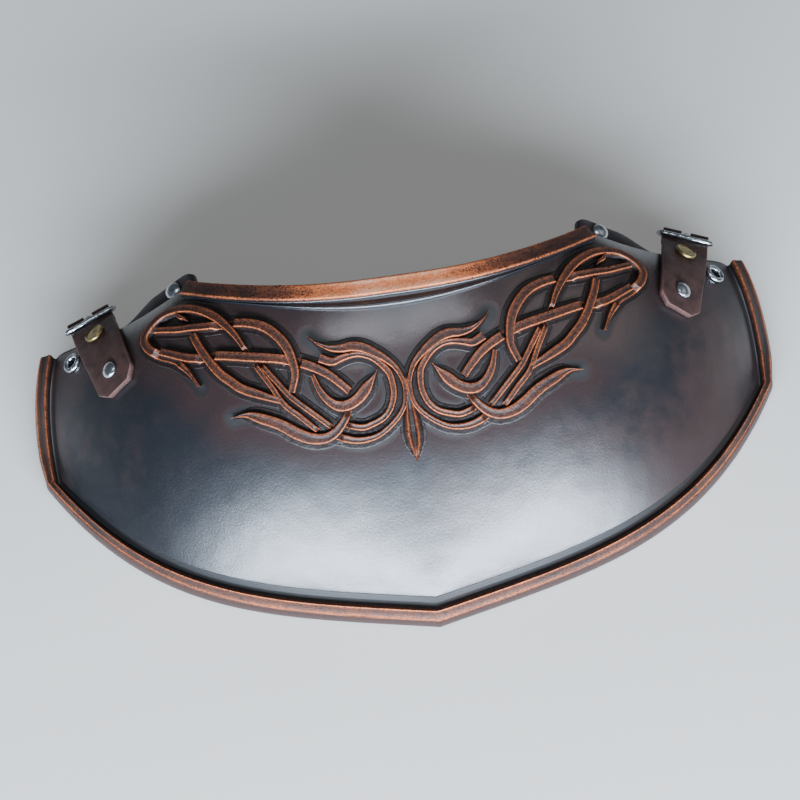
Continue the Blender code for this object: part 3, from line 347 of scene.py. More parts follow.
class Form:
    """The plate's outer surface, in the frame's axes, worked out from its sizes."""

    def __init__(self, scene):
        self.size = plain(scene.gorget_plate)
        self.relief = plain(scene.gorget_relief)
        self.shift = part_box("plate")[0].y + self.size.tip_depth
        step = self.point(1 - PROBE, 0.5) - self.point(1, 0.5)
        self.side_rate = PROBE / step.length

    def half_width(self, up):
        bulge = self.size.side_bulge * math.sin(math.pi * min(max(up, 0.0), 1.0))
        return self.size.half_width + bulge - self.size.corner_inset * max(up, 0.0)

    def lower_edge(self, across, up=0.0):
        soft = self.size.tip_softness * smooth(up / 0.3) * (1 - smooth(2 * abs(across)))
        across = math.sqrt(across * across + soft * soft) - soft / 2
        straight = self.size.tip_roundness
        return self.size.tip_depth * (straight * across + (1 - straight) * across ** 4 - 1)

    def upper_edge(self, x, up=1.0):
        x = abs(x)
        size = self.size
        neck = mix(size.neck_depth, size.neck_corner, (x / size.neck_half) ** size.neck_curve)
        part = (x - size.neck_half) / (self.half_width(1.0) - size.neck_half)
        hollow = size.shoulder_dip * 4 * part * max(1 - part, 0.0)
        shoulder = mix(size.neck_corner, size.outer_corner, part) - hollow
        soft = size.neck_softness * smooth((1 - up) / 0.3)
        if soft > 0:
            overlap = max(soft - abs(neck - shoulder), 0.0) / soft
            return min(neck, shoulder) - overlap * overlap * soft / 4
        return min(neck, shoulder)

    def edge_lift(self, across, up):
        return self.size.corner_lift * smooth((up - 0.25) / 0.75) * abs(across) ** 3

    def height(self, across, up):
        size = self.size
        place = mix(size.crest_middle, size.crest_shoulder, smooth(abs(across) / size.crest_blend))
        crest = size.crest * (1 - min(abs(across), 1.0) ** size.crown_power)
        rise = 1 - (max(place - up, 0.0) / place) ** 2
        roll_from = min(place, size.roll_line)
        roll = size.shoulder_roll * smooth((abs(across) - size.roll_start) / (size.roll_full - size.roll_start))
        rise -= roll * (max(up - roll_from, 0.0) / (1 - roll_from)) ** 2
        return size.thickness + crest * rise + self.edge_lift(across, up)

    def plan(self, across, up):
        high = self.upper_edge(across * self.half_width(1.0), up)
        return across * self.half_width(up), mix(self.lower_edge(across, up), high, up)

    def point(self, across, up):
        x, y = self.plan(across, up)
        return Vector((x, y + self.shift, self.height(across, up)))

    def shares(self, x, y):
        """The shares across and up of a place seen from above."""
        up = 0.5
        for _ in range(8):
            across = x / self.half_width(up)
            low = self.lower_edge(across, up)
            up = (y - low) / (self.upper_edge(across * self.half_width(1.0), up) - low)
        return across, up

    def height_at(self, x, y):
        return self.height(*self.shares(x, y))

    def normal(self, x, y):
        step = 0.2 * MM
        slope_x = (self.height_at(x + step, y) - self.height_at(x - step, y)) / (2 * step)
        slope_y = (self.height_at(x, y + step) - self.height_at(x, y - step)) / (2 * step)
        return Vector((-slope_x, -slope_y, 1)).normalized()

    def lifted(self, x, y, lift):
        return Vector((x, y + self.shift, self.height_at(x, y))) + self.normal(x, y) * lift

    def seat(self, x, y, lift, forward):
        """Axes at a place on the surface: X across, Y along the plan direction forward, Z out."""
        normal = self.normal(x, y)
        right = Vector((forward[1], -forward[0], 0))
        right = (right - normal * right.dot(normal)).normalized()
        axes = Matrix((right, normal.cross(right), normal)).transposed().to_4x4()
        axes.translation = self.lifted(x, y, lift)
        return axes

    def across_at(self, distance):
        """The share across of a line at a distance in from the side edge."""
        return 1 - self.side_rate * distance

    def up_at(self, across, distance):
        """The share up of a line at a distance in from the lower edge."""
        step = self.point(across, PROBE) - self.point(across, 0)
        return PROBE * distance / step.length

    def waver(self, place):
        """Slow unevenness of a face that was pressed by hand."""
        slow = noise.noise(place / (26 * MM))
        quick = noise.noise(place / (8 * MM) + Vector((7, 3, 1)))
        return self.size.unevenness * (slow + 0.35 * quick)


# Modelling helpers

def deselect():
    if bpy.context.object and bpy.context.object.mode != "OBJECT":
        bpy.ops.object.mode_set(mode="OBJECT")
    bpy.ops.object.select_all(action="DESELECT")


def take(piece):
    """Makes a piece the only one selected and the active one."""
    deselect()
    piece.select_set(True)
    bpy.context.view_layer.objects.active = piece


def edit_all(piece):
    take(piece)
    bpy.ops.object.mode_set(mode="EDIT")
    bpy.ops.mesh.select_mode(type="VERT")
    bpy.ops.mesh.select_all(action="SELECT")


def on_all(operation, **settings):
    """Runs a mesh operation on the whole piece that is being edited."""
    bpy.ops.mesh.select_all(action="SELECT")
    operation(**settings)


def end_edit():
    bpy.ops.object.mode_set(mode="OBJECT")


def named(piece, name):
    piece.name = name
    piece.data.name = name
    return piece


def lay_sheet(name, rows):
    """A grid primitive whose points are laid on rows of places."""
    deselect()
    count = len(rows[0]) - 1
    bpy.ops.mesh.primitive_grid_add(x_subdivisions=count, y_subdivisions=len(rows) - 1, size=1)
    piece = named(bpy.context.object, name)
    for point in piece.data.vertices:
        i = round((point.co.x + 0.5) * count)
        j = round((point.co.y + 0.5) * (len(rows) - 1))
        point.co = rows[j][i]
    return piece


def weigh_rows(piece, key, rows):
    """Keeps a value for each point of a laid sheet, for the material to read."""
    values = piece.data.attributes.new(key, "FLOAT", "POINT").data
    count = len(rows[0])
    flat = [value for row in rows for value in row]
    if len(flat) != len(values):
        raise RuntimeError("the values don't match the points of " + piece.name)
    for k, value in enumerate(flat):
        values[k].value = value


def close_up(piece, seam=0.003 * MM):
    """Joins the seam of a sheet laid round, fills its ends and turns its faces outwards."""
    edit_all(piece)
    on_all(bpy.ops.mesh.remove_doubles, threshold=seam)
    on_all(bpy.ops.mesh.fill_holes, sides=0)
    on_all(bpy.ops.mesh.normals_make_consistent, inside=False)
    end_edit()


def lay_ring(name, sections, **weights):
    """A closed form laid round through sections of places, each a closed line, with values for its points."""
    piece = lay_sheet(name, [section + [section[0]] for section in sections])
    for key, rows in weights.items():
        weigh_rows(piece, key, [row + [row[0]] for row in rows])
    close_up(piece)
    return piece


def join(pieces, name):
    take(pieces[0])
    for piece in pieces[1:]:
        piece.select_set(True)
    bpy.ops.object.join()
    return named(pieces[0], name)


def mirror_copy(piece, name):
    """A copy of a piece on the other side of the middle."""
    take(piece)
    bpy.ops.object.duplicate()
    copy = named(bpy.context.object, name)
    edit_all(copy)
    bpy.ops.transform.resize(value=(-1, 1, 1), center_override=(0, 0, 0))
    bpy.ops.mesh.normals_make_consistent(inside=False)
    end_edit()
    return copy


def cut(piece, tool):
    """Cuts a tool out of a piece and removes the tool."""
    take(piece)
    modifier = piece.modifiers.new("Cut", "BOOLEAN")
    modifier.operation = "DIFFERENCE"
    modifier.solver = "EXACT"
    modifier.object = tool
    bpy.ops.object.modifier_apply(modifier=modifier.name)
    take(tool)
    bpy.ops.object.delete()


def fix_place(piece):
    """Leaves a piece's place in its mesh, with its object at the origin."""
    take(piece)
    bpy.ops.object.transform_apply(location=True, rotation=True, scale=True)


def round_bar(name, radius, low, high, axes, sides=24):
    """A cylinder along the Z of some axes."""
    deselect()
    bpy.ops.mesh.primitive_cylinder_add(radius=radius, depth=high - low, vertices=sides)
    piece = bpy.context.object
    piece.name = name
    piece.matrix_world = axes @ Matrix.Translation((0, 0, (low + high) / 2))
    fix_place(piece)
    return piece


def turn_profile(name, profile, axes, steps=48):
    """Spins a line of (radius, height) points round the Z of some axes into a closed form."""
    deselect()
    bpy.ops.mesh.primitive_plane_add(size=MM)
    piece = named(bpy.context.object, name)
    edit_all(piece)
    bpy.ops.mesh.merge(type="CENTER")
    place = Vector((0, 0, 0))
    for radius, z in profile:
        target = Vector((radius, 0, z))
        bpy.ops.mesh.extrude_region_move(TRANSFORM_OT_translate={"value": target - place})
        place = target
    bpy.ops.mesh.select_all(action="DESELECT")
    end_edit()
    piece.data.vertices[0].select = True
    bpy.ops.object.mode_set(mode="EDIT")
    bpy.ops.mesh.delete(type="VERT")
    on_all(bpy.ops.mesh.spin, steps=steps, angle=2 * math.pi, center=(0, 0, 0), axis=(0, 0, 1))
    on_all(bpy.ops.mesh.remove_doubles, threshold=0.002 * MM)
    on_all(bpy.ops.mesh.normals_make_consistent, inside=False)
    end_edit()
    piece.matrix_world = axes
    fix_place(piece)
    return piece


def give(piece, *surfaces):
    """Gives a piece its materials by name, in the order of its slots."""
    piece.data.materials.clear()
    for surface in surfaces:
        piece.data.materials.append(finishes(bpy.context.scene)[surface])


def finish_piece(piece, body, nodes, angle=50):
    """Shades a piece smooth up to an angle and gives it its place in the frame."""
    take(piece)
    bpy.ops.object.shade_smooth_by_angle(angle=math.radians(angle))
    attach(piece, body)
    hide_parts(*nodes)


# Materials

def add_node(tree, kind, inputs=None, stops=None, **settings):
    """Adds a node with its settings; an input that is a socket is linked, any other is set."""
    node = tree.nodes.new("ShaderNode" + kind)
    for key, value in settings.items():
        setattr(node, key, value)
    for key, value in (inputs or {}).items():
        if isinstance(value, bpy.types.NodeSocket):
            tree.links.new(value, node.inputs[key])
        else:
            node.inputs[key].default_value = value
    if stops:
        ramp = node.color_ramp.elements
        while len(ramp) < len(stops):
            ramp.new(0.5)
        for element, (position, shade) in zip(ramp, stops):
            element.position = position
            element.color = shade if len(shade) == 4 else (*shade, 1)
    return node


def new_material(name, **constants):
    """Makes a material with its constant values on its own shader, and returns its tree, shader and places."""
    result = bpy.data.materials.new(name)
    result.use_nodes = True
    shader = result.node_tree.nodes["Principled BSDF"]
    for key, value in constants.items():
        shader.inputs[key.replace("_", " ")].default_value = value
    places = add_node(result.node_tree, "TexCoord").outputs["Object"]
    return result.node_tree, shader, places


def blend_colours(tree, part, first, second):
    return add_node(tree, "Mix", {0: part, 6: first, 7: second}, data_type="RGBA").outputs[2]


def blend_values(tree, part, first, second):
    return add_node(tree, "Mix", {0: part, 2: first, 3: second}, data_type="FLOAT").outputs[0]


def spread(tree, value, low, high):
    """The part of a value between two limits, as 0 to 1."""
    return add_node(tree, "MapRange", {0: value, 1: low, 2: high, 3: 0.0, 4: 1.0},
                    interpolation_type="SMOOTHSTEP").outputs[0]


def grain(tree, places, size, detail=2.0, roughness=0.5, distortion=0.0):
    """Cloudy noise whose blotches are about one size across, in metres."""
    return add_node(tree, "TexNoise", {"Vector": places, "Scale": 1 / size, "Detail": detail,
                                       "Roughness": roughness, "Distortion": distortion}).outputs[0]


def painted(tree, key):
    """A value kept on the piece's own points."""
    return add_node(tree, "Attribute", attribute_name=key).outputs["Fac"]


def dressed(tree, shader, base, roughness):
    """Links a material's colour and roughness."""
    tree.links.new(base, shader.inputs["Base Color"])
    tree.links.new(roughness, shader.inputs["Roughness"])


def bumped(tree, shader, height, distance, strength=1.0, before=None):
    """Adds a bump over the one before it and links it."""
    inputs = {"Height": height, "Distance": distance, "Strength": strength}
    if before:
        inputs["Normal"] = before
    normal = add_node(tree, "Bump", inputs).outputs[0]
    tree.links.new(normal, shader.inputs["Normal"])
    return normal


def plate_leather(tints):
    """Vegetable-tanned leather, dyed black over brown, waxed and buffed: a soft sheen, brown where it is thin."""
    tree, shader, places = new_material("dyed_veg_tan_leather", Specular_IOR_Level=0.8,
                                        Coat_Weight=0.45, Coat_Roughness=0.28)
    clouds = grain(tree, places, 90 * MM, 4.0, 0.55)
    mottling = grain(tree, places, 9 * MM, 4.0, 0.65)
    # Real pores, about 0.6 mm apart, would be lost at this size
    pores = grain(tree, places, 1.1 * MM, 3.0, 0.6)
    warm = painted(tree, "warm")
    thin = spread(tree, blend_values(tree, 0.3, clouds, mottling), 0.44, 0.66)
    thin = blend_values(tree, warm, thin, 0.9)
    hollow = painted(tree, "hollow")
    base = blend_colours(tree, thin, tints.field_black, tints.field_brown)
    flecks = blend_values(tree, thin, 0.0, spread(tree, pores, 0.60, 0.95))
    base = blend_colours(tree, flecks, base, tints.copper_dull)
    # Painted shade, partly dye: the groove and the leather beside the bands turn near-black by this mask
    base = blend_colours(tree, spread(tree, hollow, 0.15, 1.0), base, tints.deep_dye_and_shade)
    creases = grain(tree, places, 5 * MM, 5.0, 0.6, 0.4)
    polish = blend_values(tree, mottling, 0.28, 0.38)
    polish = blend_values(tree, warm, polish, 0.25)
    dressed(tree, shader, base, blend_values(tree, hollow, polish, 0.55))
    normal = bumped(tree, shader, pores, 0.10 * MM, 0.55)
    bumped(tree, shader, creases, 0.15 * MM, 0.35, normal)


def flesh_leather(tints):
    """The leather's undyed flesh side: brown, matt and short-fibred."""
    tree, shader, places = new_material("leather_flesh_side", Specular_IOR_Level=0.25)
    clouds = grain(tree, places, 30 * MM, 5.0, 0.6)
    fibres = grain(tree, places, 1.4 * MM, 4.0, 0.7)
    base = blend_colours(tree, spread(tree, clouds, 0.35, 0.7), tints.flesh_side, tints.tab_brown)
    dressed(tree, shader, base, blend_values(tree, fibres, 0.75, 0.95))
    bumped(tree, shader, fibres, 0.3 * MM, 0.8)


def rubbed_leather(tints):
    """Dyed leather with copper wax rubbed over it: bright on the edges, speckled on the faces, dark in the pits."""
    tree, shader, places = new_material("copper_waxed_leather", Specular_IOR_Level=0.5)
    rub = painted(tree, "rub")
    wall = painted(tree, "wall")
    # Pits of the pressed grain, about 0.9 mm across
    pits = grain(tree, places, 0.9 * MM, 3.0, 0.7)
    clouds = grain(tree, places, 14 * MM, 4.0, 0.6)
    reach = add_node(tree, "Math", {0: rub, 1: blend_values(tree, clouds, -0.32, 0.30)}, operation="ADD").outputs[0]
    cover = add_node(tree, "Math", {0: reach, 1: pits}, operation="ADD").outputs[0]
    waxed = spread(tree, cover, 0.62, 1.18)
    bright = spread(tree, cover, 1.05, 1.55)
    dark = blend_colours(tree, wall, tints.relief_dark, tints.wall_red)
    base = blend_colours(tree, waxed, dark, tints.copper_dull)
    base = blend_colours(tree, bright, base, tints.copper_bright)
    # Painted highlight, partly wax: the thickest copper turns pale, chiefly on the middle of the neck band
    base = blend_colours(tree, spread(tree, cover, 1.45, 1.95), base, tints.pale_copper_and_highlight)
    specks = blend_values(tree, spread(tree, rub, 0.8, 1.0), spread(tree, pits, 0.47, 0.36), 0.12)
    base = blend_colours(tree, specks, base, tints.relief_dark)
    dressed(tree, shader, base, blend_values(tree, pits, 0.30, 0.58))
    tree.links.new(blend_values(tree, waxed, 0.0, 0.45), shader.inputs["Metallic"])
    lumps = grain(tree, places, 2.6 * MM, 4.0, 0.6)
    normal = bumped(tree, shader, pits, 0.16 * MM, 0.8)
    bumped(tree, shader, lumps, 0.4 * MM, 0.5, normal)


def tab_leather(tints):
    """Chrome-tanned strap leather, smooth and satin, with a paler cut edge."""
    tree, shader, places = new_material("brown_strap_leather", Specular_IOR_Level=0.35)
    cloud = grain(tree, places, 7 * MM, 4.0, 0.6)
    pores = grain(tree, places, 0.8 * MM, 3.0, 0.6)
    face = blend_colours(tree, spread(tree, cloud, 0.3, 0.75), tints.tab_brown, tints.relief_dark)
    face = blend_colours(tree, spread(tree, pores, 0.55, 0.8), face, tints.tab_cut)
    # The pale cut edge, laid palest along its top as a painted highlight
    base = blend_colours(tree, painted(tree, "cut"), face, tints.tab_cut)
    base = blend_colours(tree, spread(tree, pores, 0.6, 0.2), base, tints.tab_brown)
    dressed(tree, shader, base, blend_values(tree, cloud, 0.48, 0.68))
    bumped(tree, shader, pores, 0.10 * MM, 0.6)


def strap_leather(tints):
    """Oiled dark strap leather: nearly black, matt, with a cool sheen where it bends."""
    tree, shader, places = new_material("oiled_strap_leather", Specular_IOR_Level=0.4, Sheen_Weight=0.15,
                                        Sheen_Roughness=0.4)
    cloud = grain(tree, places, 10 * MM, 4.0, 0.6)
    fibres = grain(tree, places, 1.2 * MM, 4.0, 0.65)
    base = blend_colours(tree, spread(tree, cloud, 0.35, 0.7), tints.strap_brown, tints.field_black)
    base = blend_colours(tree, painted(tree, "cut"), base, tints.tab_brown)
    dressed(tree, shader, base, blend_values(tree, fibres, 0.45, 0.7))
    bumped(tree, shader, fibres, 0.16 * MM, 0.7)


def worn_metal(name, bright, dark, rough, dents):
    """Plated metal worn by use: bright where it is touched, dirt in its dents, fine scratches."""
    tree, shader, places = new_material(name, Metallic=1.0)
    cloud = grain(tree, places, 2.5 * MM, 4.0, 0.6)
    scratches = grain(tree, places, 0.5 * MM, 2.0, 0.6, 1.5)
    base = blend_colours(tree, spread(tree, cloud, 0.48, 0.75), bright, dark)
    dressed(tree, shader, base, blend_values(tree, scratches, rough * 0.7, rough * 1.4))
    bumped(tree, shader, cloud, dents, 0.6)


def floor_paint(tints):
    """A painted studio floor: pale, matt, with the faintest unevenness."""
    tree, shader, places = new_material("matt_floor_paint", Specular_IOR_Level=0.2)
    cloud = grain(tree, places, 0.4, 3.0, 0.5)
    darker = [0.93 * value for value in tints.floor[:3]] + [1]
    dressed(tree, shader, blend_colours(tree, cloud, tints.floor, darker), blend_values(tree, cloud, 0.75, 0.9))


def finishes(scene):
    """The gorget's materials, made once and then found by name."""
    if "matt_floor_paint" not in bpy.data.materials:
        tints = plain(scene.gorget_colours)
        for make in (plate_leather, flesh_leather, rubbed_leather, tab_leather, strap_leather, floor_paint):
            make(tints)
        worn_metal("nickel_plated_steel", tints.steel, tints.steel_dark, 0.26, 0.15 * MM)
        worn_metal("hammered_steel", tints.steel, tints.steel_dark, 0.22, 0.5 * MM)
        worn_metal("tarnished_brass", tints.brass, tints.brass_dark, 0.36, 0.12 * MM)
    return bpy.data.materials


# Plate

def groove_lines(form):
    """Distances from the edge of the lines across the border and the groove."""
    start = form.relief.border_width + GAP
    end = start + form.size.groove_width
    inside = [start + part * MM for part in (0, 0.3, 0.6, 1.0, 1.7, 2.4)]
    outside = [end + part * MM for part in (-1.2, -0.6, 0, 0.6, 1.2, 2.0, 3.2, 4.6)]
    return [0, 2 * MM, 4 * MM, 6 * MM, 7.4 * MM] + inside + outside


def groove_at(form, distance):
    """The groove's depth at a distance in from the edge: shallow beside the border, deepest beside the field."""
    start = form.relief.border_width + GAP
    end = start + form.size.groove_width
    into = smooth((distance - start) / MM)
    out = smooth((distance - end + 0.7 * MM) / (1.4 * MM))
    slope = mix(0.4, 1.0, min((distance - start) / (end - start), 1.0))
    return form.size.groove_depth * into * (1 - out) * slope


def halo_at(form, distance):
    """How far the leather is pressed down at a distance from the middle of the nearest band."""
    return 1 - smooth((distance - HALO_START) / (form.size.halo_reach - HALO_START))


def plate_sheets(form, near):
    """Rows of the plate's top and underside, how far painted shade and dye darken the top in the groove and beside
    the knot, and how brown it is near the knot.
    """
    lines = groove_lines(form)
    edge = [form.across_at(distance) for distance in lines]
    right = [(share_across, distance) for share_across, distance in zip(edge, lines)]
    left = [(-share_across, distance) for share_across, distance in right]
    inner = edge[-1]
    between = [(mix(-inner, inner, i / PLATE_COLUMNS), 1.0) for i in range(1, PLATE_COLUMNS)]
    across_lines = left + between + right[::-1]
    top, under, dark, warm = [], [], [], []
    for j in range(len(lines) + PLATE_ROWS):
        top.append([])
        under.append([])
        dark.append([])
        warm.append([])
        for i, (across, from_side) in enumerate(across_lines):
            low_up = form.up_at(across, lines[-1])
            if j < len(lines):
                up, from_low = form.up_at(across, lines[j]), lines[j]
            else:
                up, from_low = mix(low_up, 1, (j - len(lines) + 1) / PLATE_ROWS), 1.0
            place = form.point(across, up)
            normal = form.normal(place.x, place.y - form.shift)
            distance = min(from_side, from_low)
            depth = groove_at(form, distance)
            calm = smooth((distance - WAVER_START) / WAVER_OVER) * smooth((1 - up) * WAVER_CALM)
            face = form.waver(place) * calm
            top[-1].append(place + normal * (face - depth))
            inside = place - normal * form.size.thickness
            floor = form.edge_lift(across, up)
            if i in (0, len(across_lines) - 1) or j == 0 or inside.z < floor:
                inside.z = floor
            under[-1].append(inside)
            reach = near(place)
            beside = halo_at(form, reach)
            top[-1][-1] -= normal * (form.size.halo_depth * beside)
            # Painted shade, partly dye: darkest where the groove is deepest and close beside the bands
            dark[-1].append(max(depth / form.size.groove_depth, beside))
            warm[-1].append(1 - smooth((reach - WARM_START) / WARM_REACH))
    return top, under, dark, warm


class GORGET_OT_plate(bpy.types.Operator):
    """Lays the moulded plate: its grooved and uneven face, its underside and its holes for the eyelets"""
    bl_idname = "gorget.plate"
    bl_label = "Plate"

    def execute(self, context):
        form = Form(context.scene)
        routes = knot_routes(form)
        places = [form.lifted(spot.x, spot.y, 0) for route in routes.values() for spot in route]
        places += [Vector((-place.x, place.y, place.z)) for place in places]
        tree = kdtree.KDTree(len(places))
        for k, place in enumerate(places):
            tree.insert(place, k)
        tree.balance()
        top, under, dark, warm = plate_sheets(form, lambda place: tree.find(place)[2])
        plate = lay_sheet("gorget_shell", top)
        # The painted shade and dye of the groove and beside the bands, kept on the points
        weigh_rows(plate, "hollow", dark)
        weigh_rows(plate, "warm", warm)
        inside = lay_sheet("plate_inside", under)
        give(plate, "dyed_veg_tan_leather")
        give(inside, "leather_flesh_side")
        join([plate, inside], "gorget_shell")
        edit_all(plate)
        bpy.ops.mesh.region_to_loop()
        bpy.ops.mesh.bridge_edge_loops()
        on_all(bpy.ops.mesh.normals_make_consistent, inside=False)
        end_edit()
        fittings = plain(context.scene.gorget_fittings)
        for side in SIDES.values():
            axes = eyelet_axes(form, fittings, side)
            cut(plate, round_bar("hole", fittings.eyelet_barrel - GAP, -12 * MM, 8 * MM, axes))
        finish_piece(plate, "root", ["plate"], 40)
        return {"FINISHED"}


# Borders

def rim_stations():
    """Stations round the rim: the edge each lies on, and its share down a side or along the lower edge."""
    side = [k / RIM_SIDE_STEPS for k in range(RIM_SIDE_STEPS)]
    return ([("left", part) for part in side]
            + [("low", k / RIM_LOW_STEPS) for k in range(RIM_LOW_STEPS + 1)]
            + [("right", part) for part in reversed(side)])


def rim_shares(form, station, distance):
    """The shares across and up of a station, at a distance in from the edge."""
    kind, part = station
    across = form.across_at(distance)
    if kind == "low":
        across = mix(-across, across, part)
        return across, form.up_at(across, distance)
    return (-across if kind == "left" else across), mix(1, form.up_at(across, distance), part)


def plan_outward(places, k):
    """Plan direction out of a line of places at its point k, lengthened at a mitre."""
    before = places[k] - places[k - 1] if k else places[1] - places[0]
    after = places[k + 1] - places[k] if k < len(places) - 1 else before
    first, second = before.to_2d().normalized(), after.to_2d().normalized()
    total = Vector((first.y + second.y, -first.x - second.x)).normalized()
    return total / max(total.dot(Vector((first.y, -first.x))), 0.5)


# The border's section: share of the way from its outer to its inner top edge, lift off that line in mm,
# and how much copper is rubbed on
BORDER_TOP = ((0.0, -0.55, 0.75), (0.03, -0.14, 1.0), (0.09, 0.06, 0.95), (0.17, 0.0, 0.5), (0.35, -0.14, 0.32),
              (0.5, -0.18, 0.28), (0.65, -0.14, 0.32), (0.83, 0.0, 0.5), (0.91, 0.06, 0.95), (0.97, -0.14, 1.0),
              (1.0, -0.55, 0.75))


def border_section(form, station, ring, edge, outer):
    """One closed section of the border, from the floor over the top and back inside the plate."""
    sideways = abs(rim_shares(form, station, 0)[0]) ** 3
    size, relief = form.size, form.relief
    line = relief.border_width + GAP
    inner = form.point(*rim_shares(form, station, line))
    inner_normal = form.normal(inner.x, inner.y - form.shift)
    back = (edge - inner).normalized()
    wall = (edge - ring) / size.thickness
    outer = Vector((outer.x, outer.y, 0))
    bulge = outer * 0.25 * MM
    crown = edge + wall * relief.border_height - back * 0.4 * MM
    # The border was pressed from above: at the sides its walls stand upright and its top lies flatter
    upright = Vector((ring.x, ring.y, edge.z + relief.border_height)) - outer * 0.5 * MM
    crown = crown.lerp(upright, SIDE_UPRIGHT * sideways)
    inner_wall = inner_normal.lerp(Vector((0, 0, 1)), SIDE_LEVEL * sideways).normalized()
    far = inner + inner_wall * relief.border_height + back * 0.5 * MM
    up = (wall.normalized() + inner_wall).normalized()
    foot = edge.lerp(Vector((ring.x, ring.y, edge.z)), SIDE_UPRIGHT * sideways)
    section = [ring, ring.lerp(foot, 0.12) + bulge, ring.lerp(foot, 0.5) + bulge * 1.6, foot + bulge * 1.6,
               foot.lerp(crown, 0.5) + bulge, foot.lerp(crown, 0.78) + bulge * 0.6]
    rub = [0.0, 0.02, 0.05, 0.06, 0.12, 0.45]
    walls = [1.0] * 6
    for part, lift, wax in BORDER_TOP:
        place = crown.lerp(far, part) + up * (lift * MM)
        section.append(place + up * form.waver(place) * RIM_WAVER)
        rub.append(wax * mix(1, 0.85, sideways) if wax > 0.7 else wax + 0.22 * (1 - sideways) - 0.12)
        walls.append(0.0)
    low = form.point(*rim_shares(form, station, line + 0.9 * MM))
    low_normal = form.normal(low.x, low.y - form.shift)
    section += [inner + inner_wall * 1.6 * MM, inner + inner_wall * 0.2 * MM - back * 0.15 * MM,
                low - low_normal * 1.5 * MM]
    deep = form.point(*rim_shares(form, station, line * 0.55))
    deep_normal = form.normal(deep.x, deep.y - form.shift)
    section += [deep - deep_normal * 1.8 * MM]
    inside = ring + (deep - ring).to_2d().to_3d().normalized() * 2.4 * MM
    inside.z = ring.z
    section += [inside.lerp(edge, 0.35), inside]
    rub += [0.25, 0.0, 0.0, 0.0, 0.0, 0.0]
    walls += [0.0, 0.0, 0.0, 0.0, 1.0, 1.0]
    return section, rub, walls


class GORGET_OT_outer_border(bpy.types.Operator):
    """Lays the raised border round the sides and the lower edge, with the outer wall down to the floor"""
    bl_idname = "gorget.outer_border"
    bl_label = "Outer border"

    def execute(self, context):
        form = Form(context.scene)
        stations = rim_stations()
        shares = [rim_shares(form, station, 0) for station in stations]
        edge = [form.point(*pair) for pair in shares]
        sections, rub, walls = [], [], []
        for k, (across, up) in enumerate(shares):
            outer = plan_outward(edge, k)
            reach = mix(form.size.draft_tip, form.size.draft_side, (across * across + smooth(up / 0.3)) / 2)
            ring = Vector((edge[k].x + outer.x * reach, edge[k].y + outer.y * reach,
                           form.edge_lift(across, up)))
            section, wax, wall = border_section(form, stations[k], ring, edge[k], outer)
            sections.append(section)
            rub.append(wax)
            walls.append(wall)
        border = lay_ring("rim_relief", sections, rub=rub, wall=walls)
        give(border, "copper_waxed_leather")
        finish_piece(border, "root", ["outer_border"])
        return {"FINISHED"}


# The neck border's section: where it lies (0 to 1 band, 1 to 2 cove, 2 to 3 ridge), its height in mm, and how
# much copper is rubbed on; the ridge's lines give a share of the ridge's height in place of a height
NECK_BAND = ((0.0, -0.3, 0.0), (0.0, 1.0, 0.05), (0.015, 2.2, 0.3), (0.04, 2.85, 0.95), (0.10, 3.2, 1.0),
             (0.19, 3.15, 0.62), (0.34, 3.02, 0.52), (0.5, 2.96, 0.48), (0.66, 3.02, 0.52), (0.83, 3.12, 0.62),
             (0.91, 3.2, 1.0), (0.97, 2.9, 1.0), (1.0, 2.3, 0.5), (1.04, 1.6, 0.1), (1.14, 1.12, 0.0),
             (1.35, 0.96, 0.0), (1.6, 0.94, 0.0), (1.85, 1.02, 0.0))
NECK_RIDGE = ((2.02, 0.62), (2.15, 0.86), (2.32, 0.97), (2.5, 1.0), (2.66, 0.93), (2.8, 0.72), (2.92, 0.4),
              (3.02, -0.1))


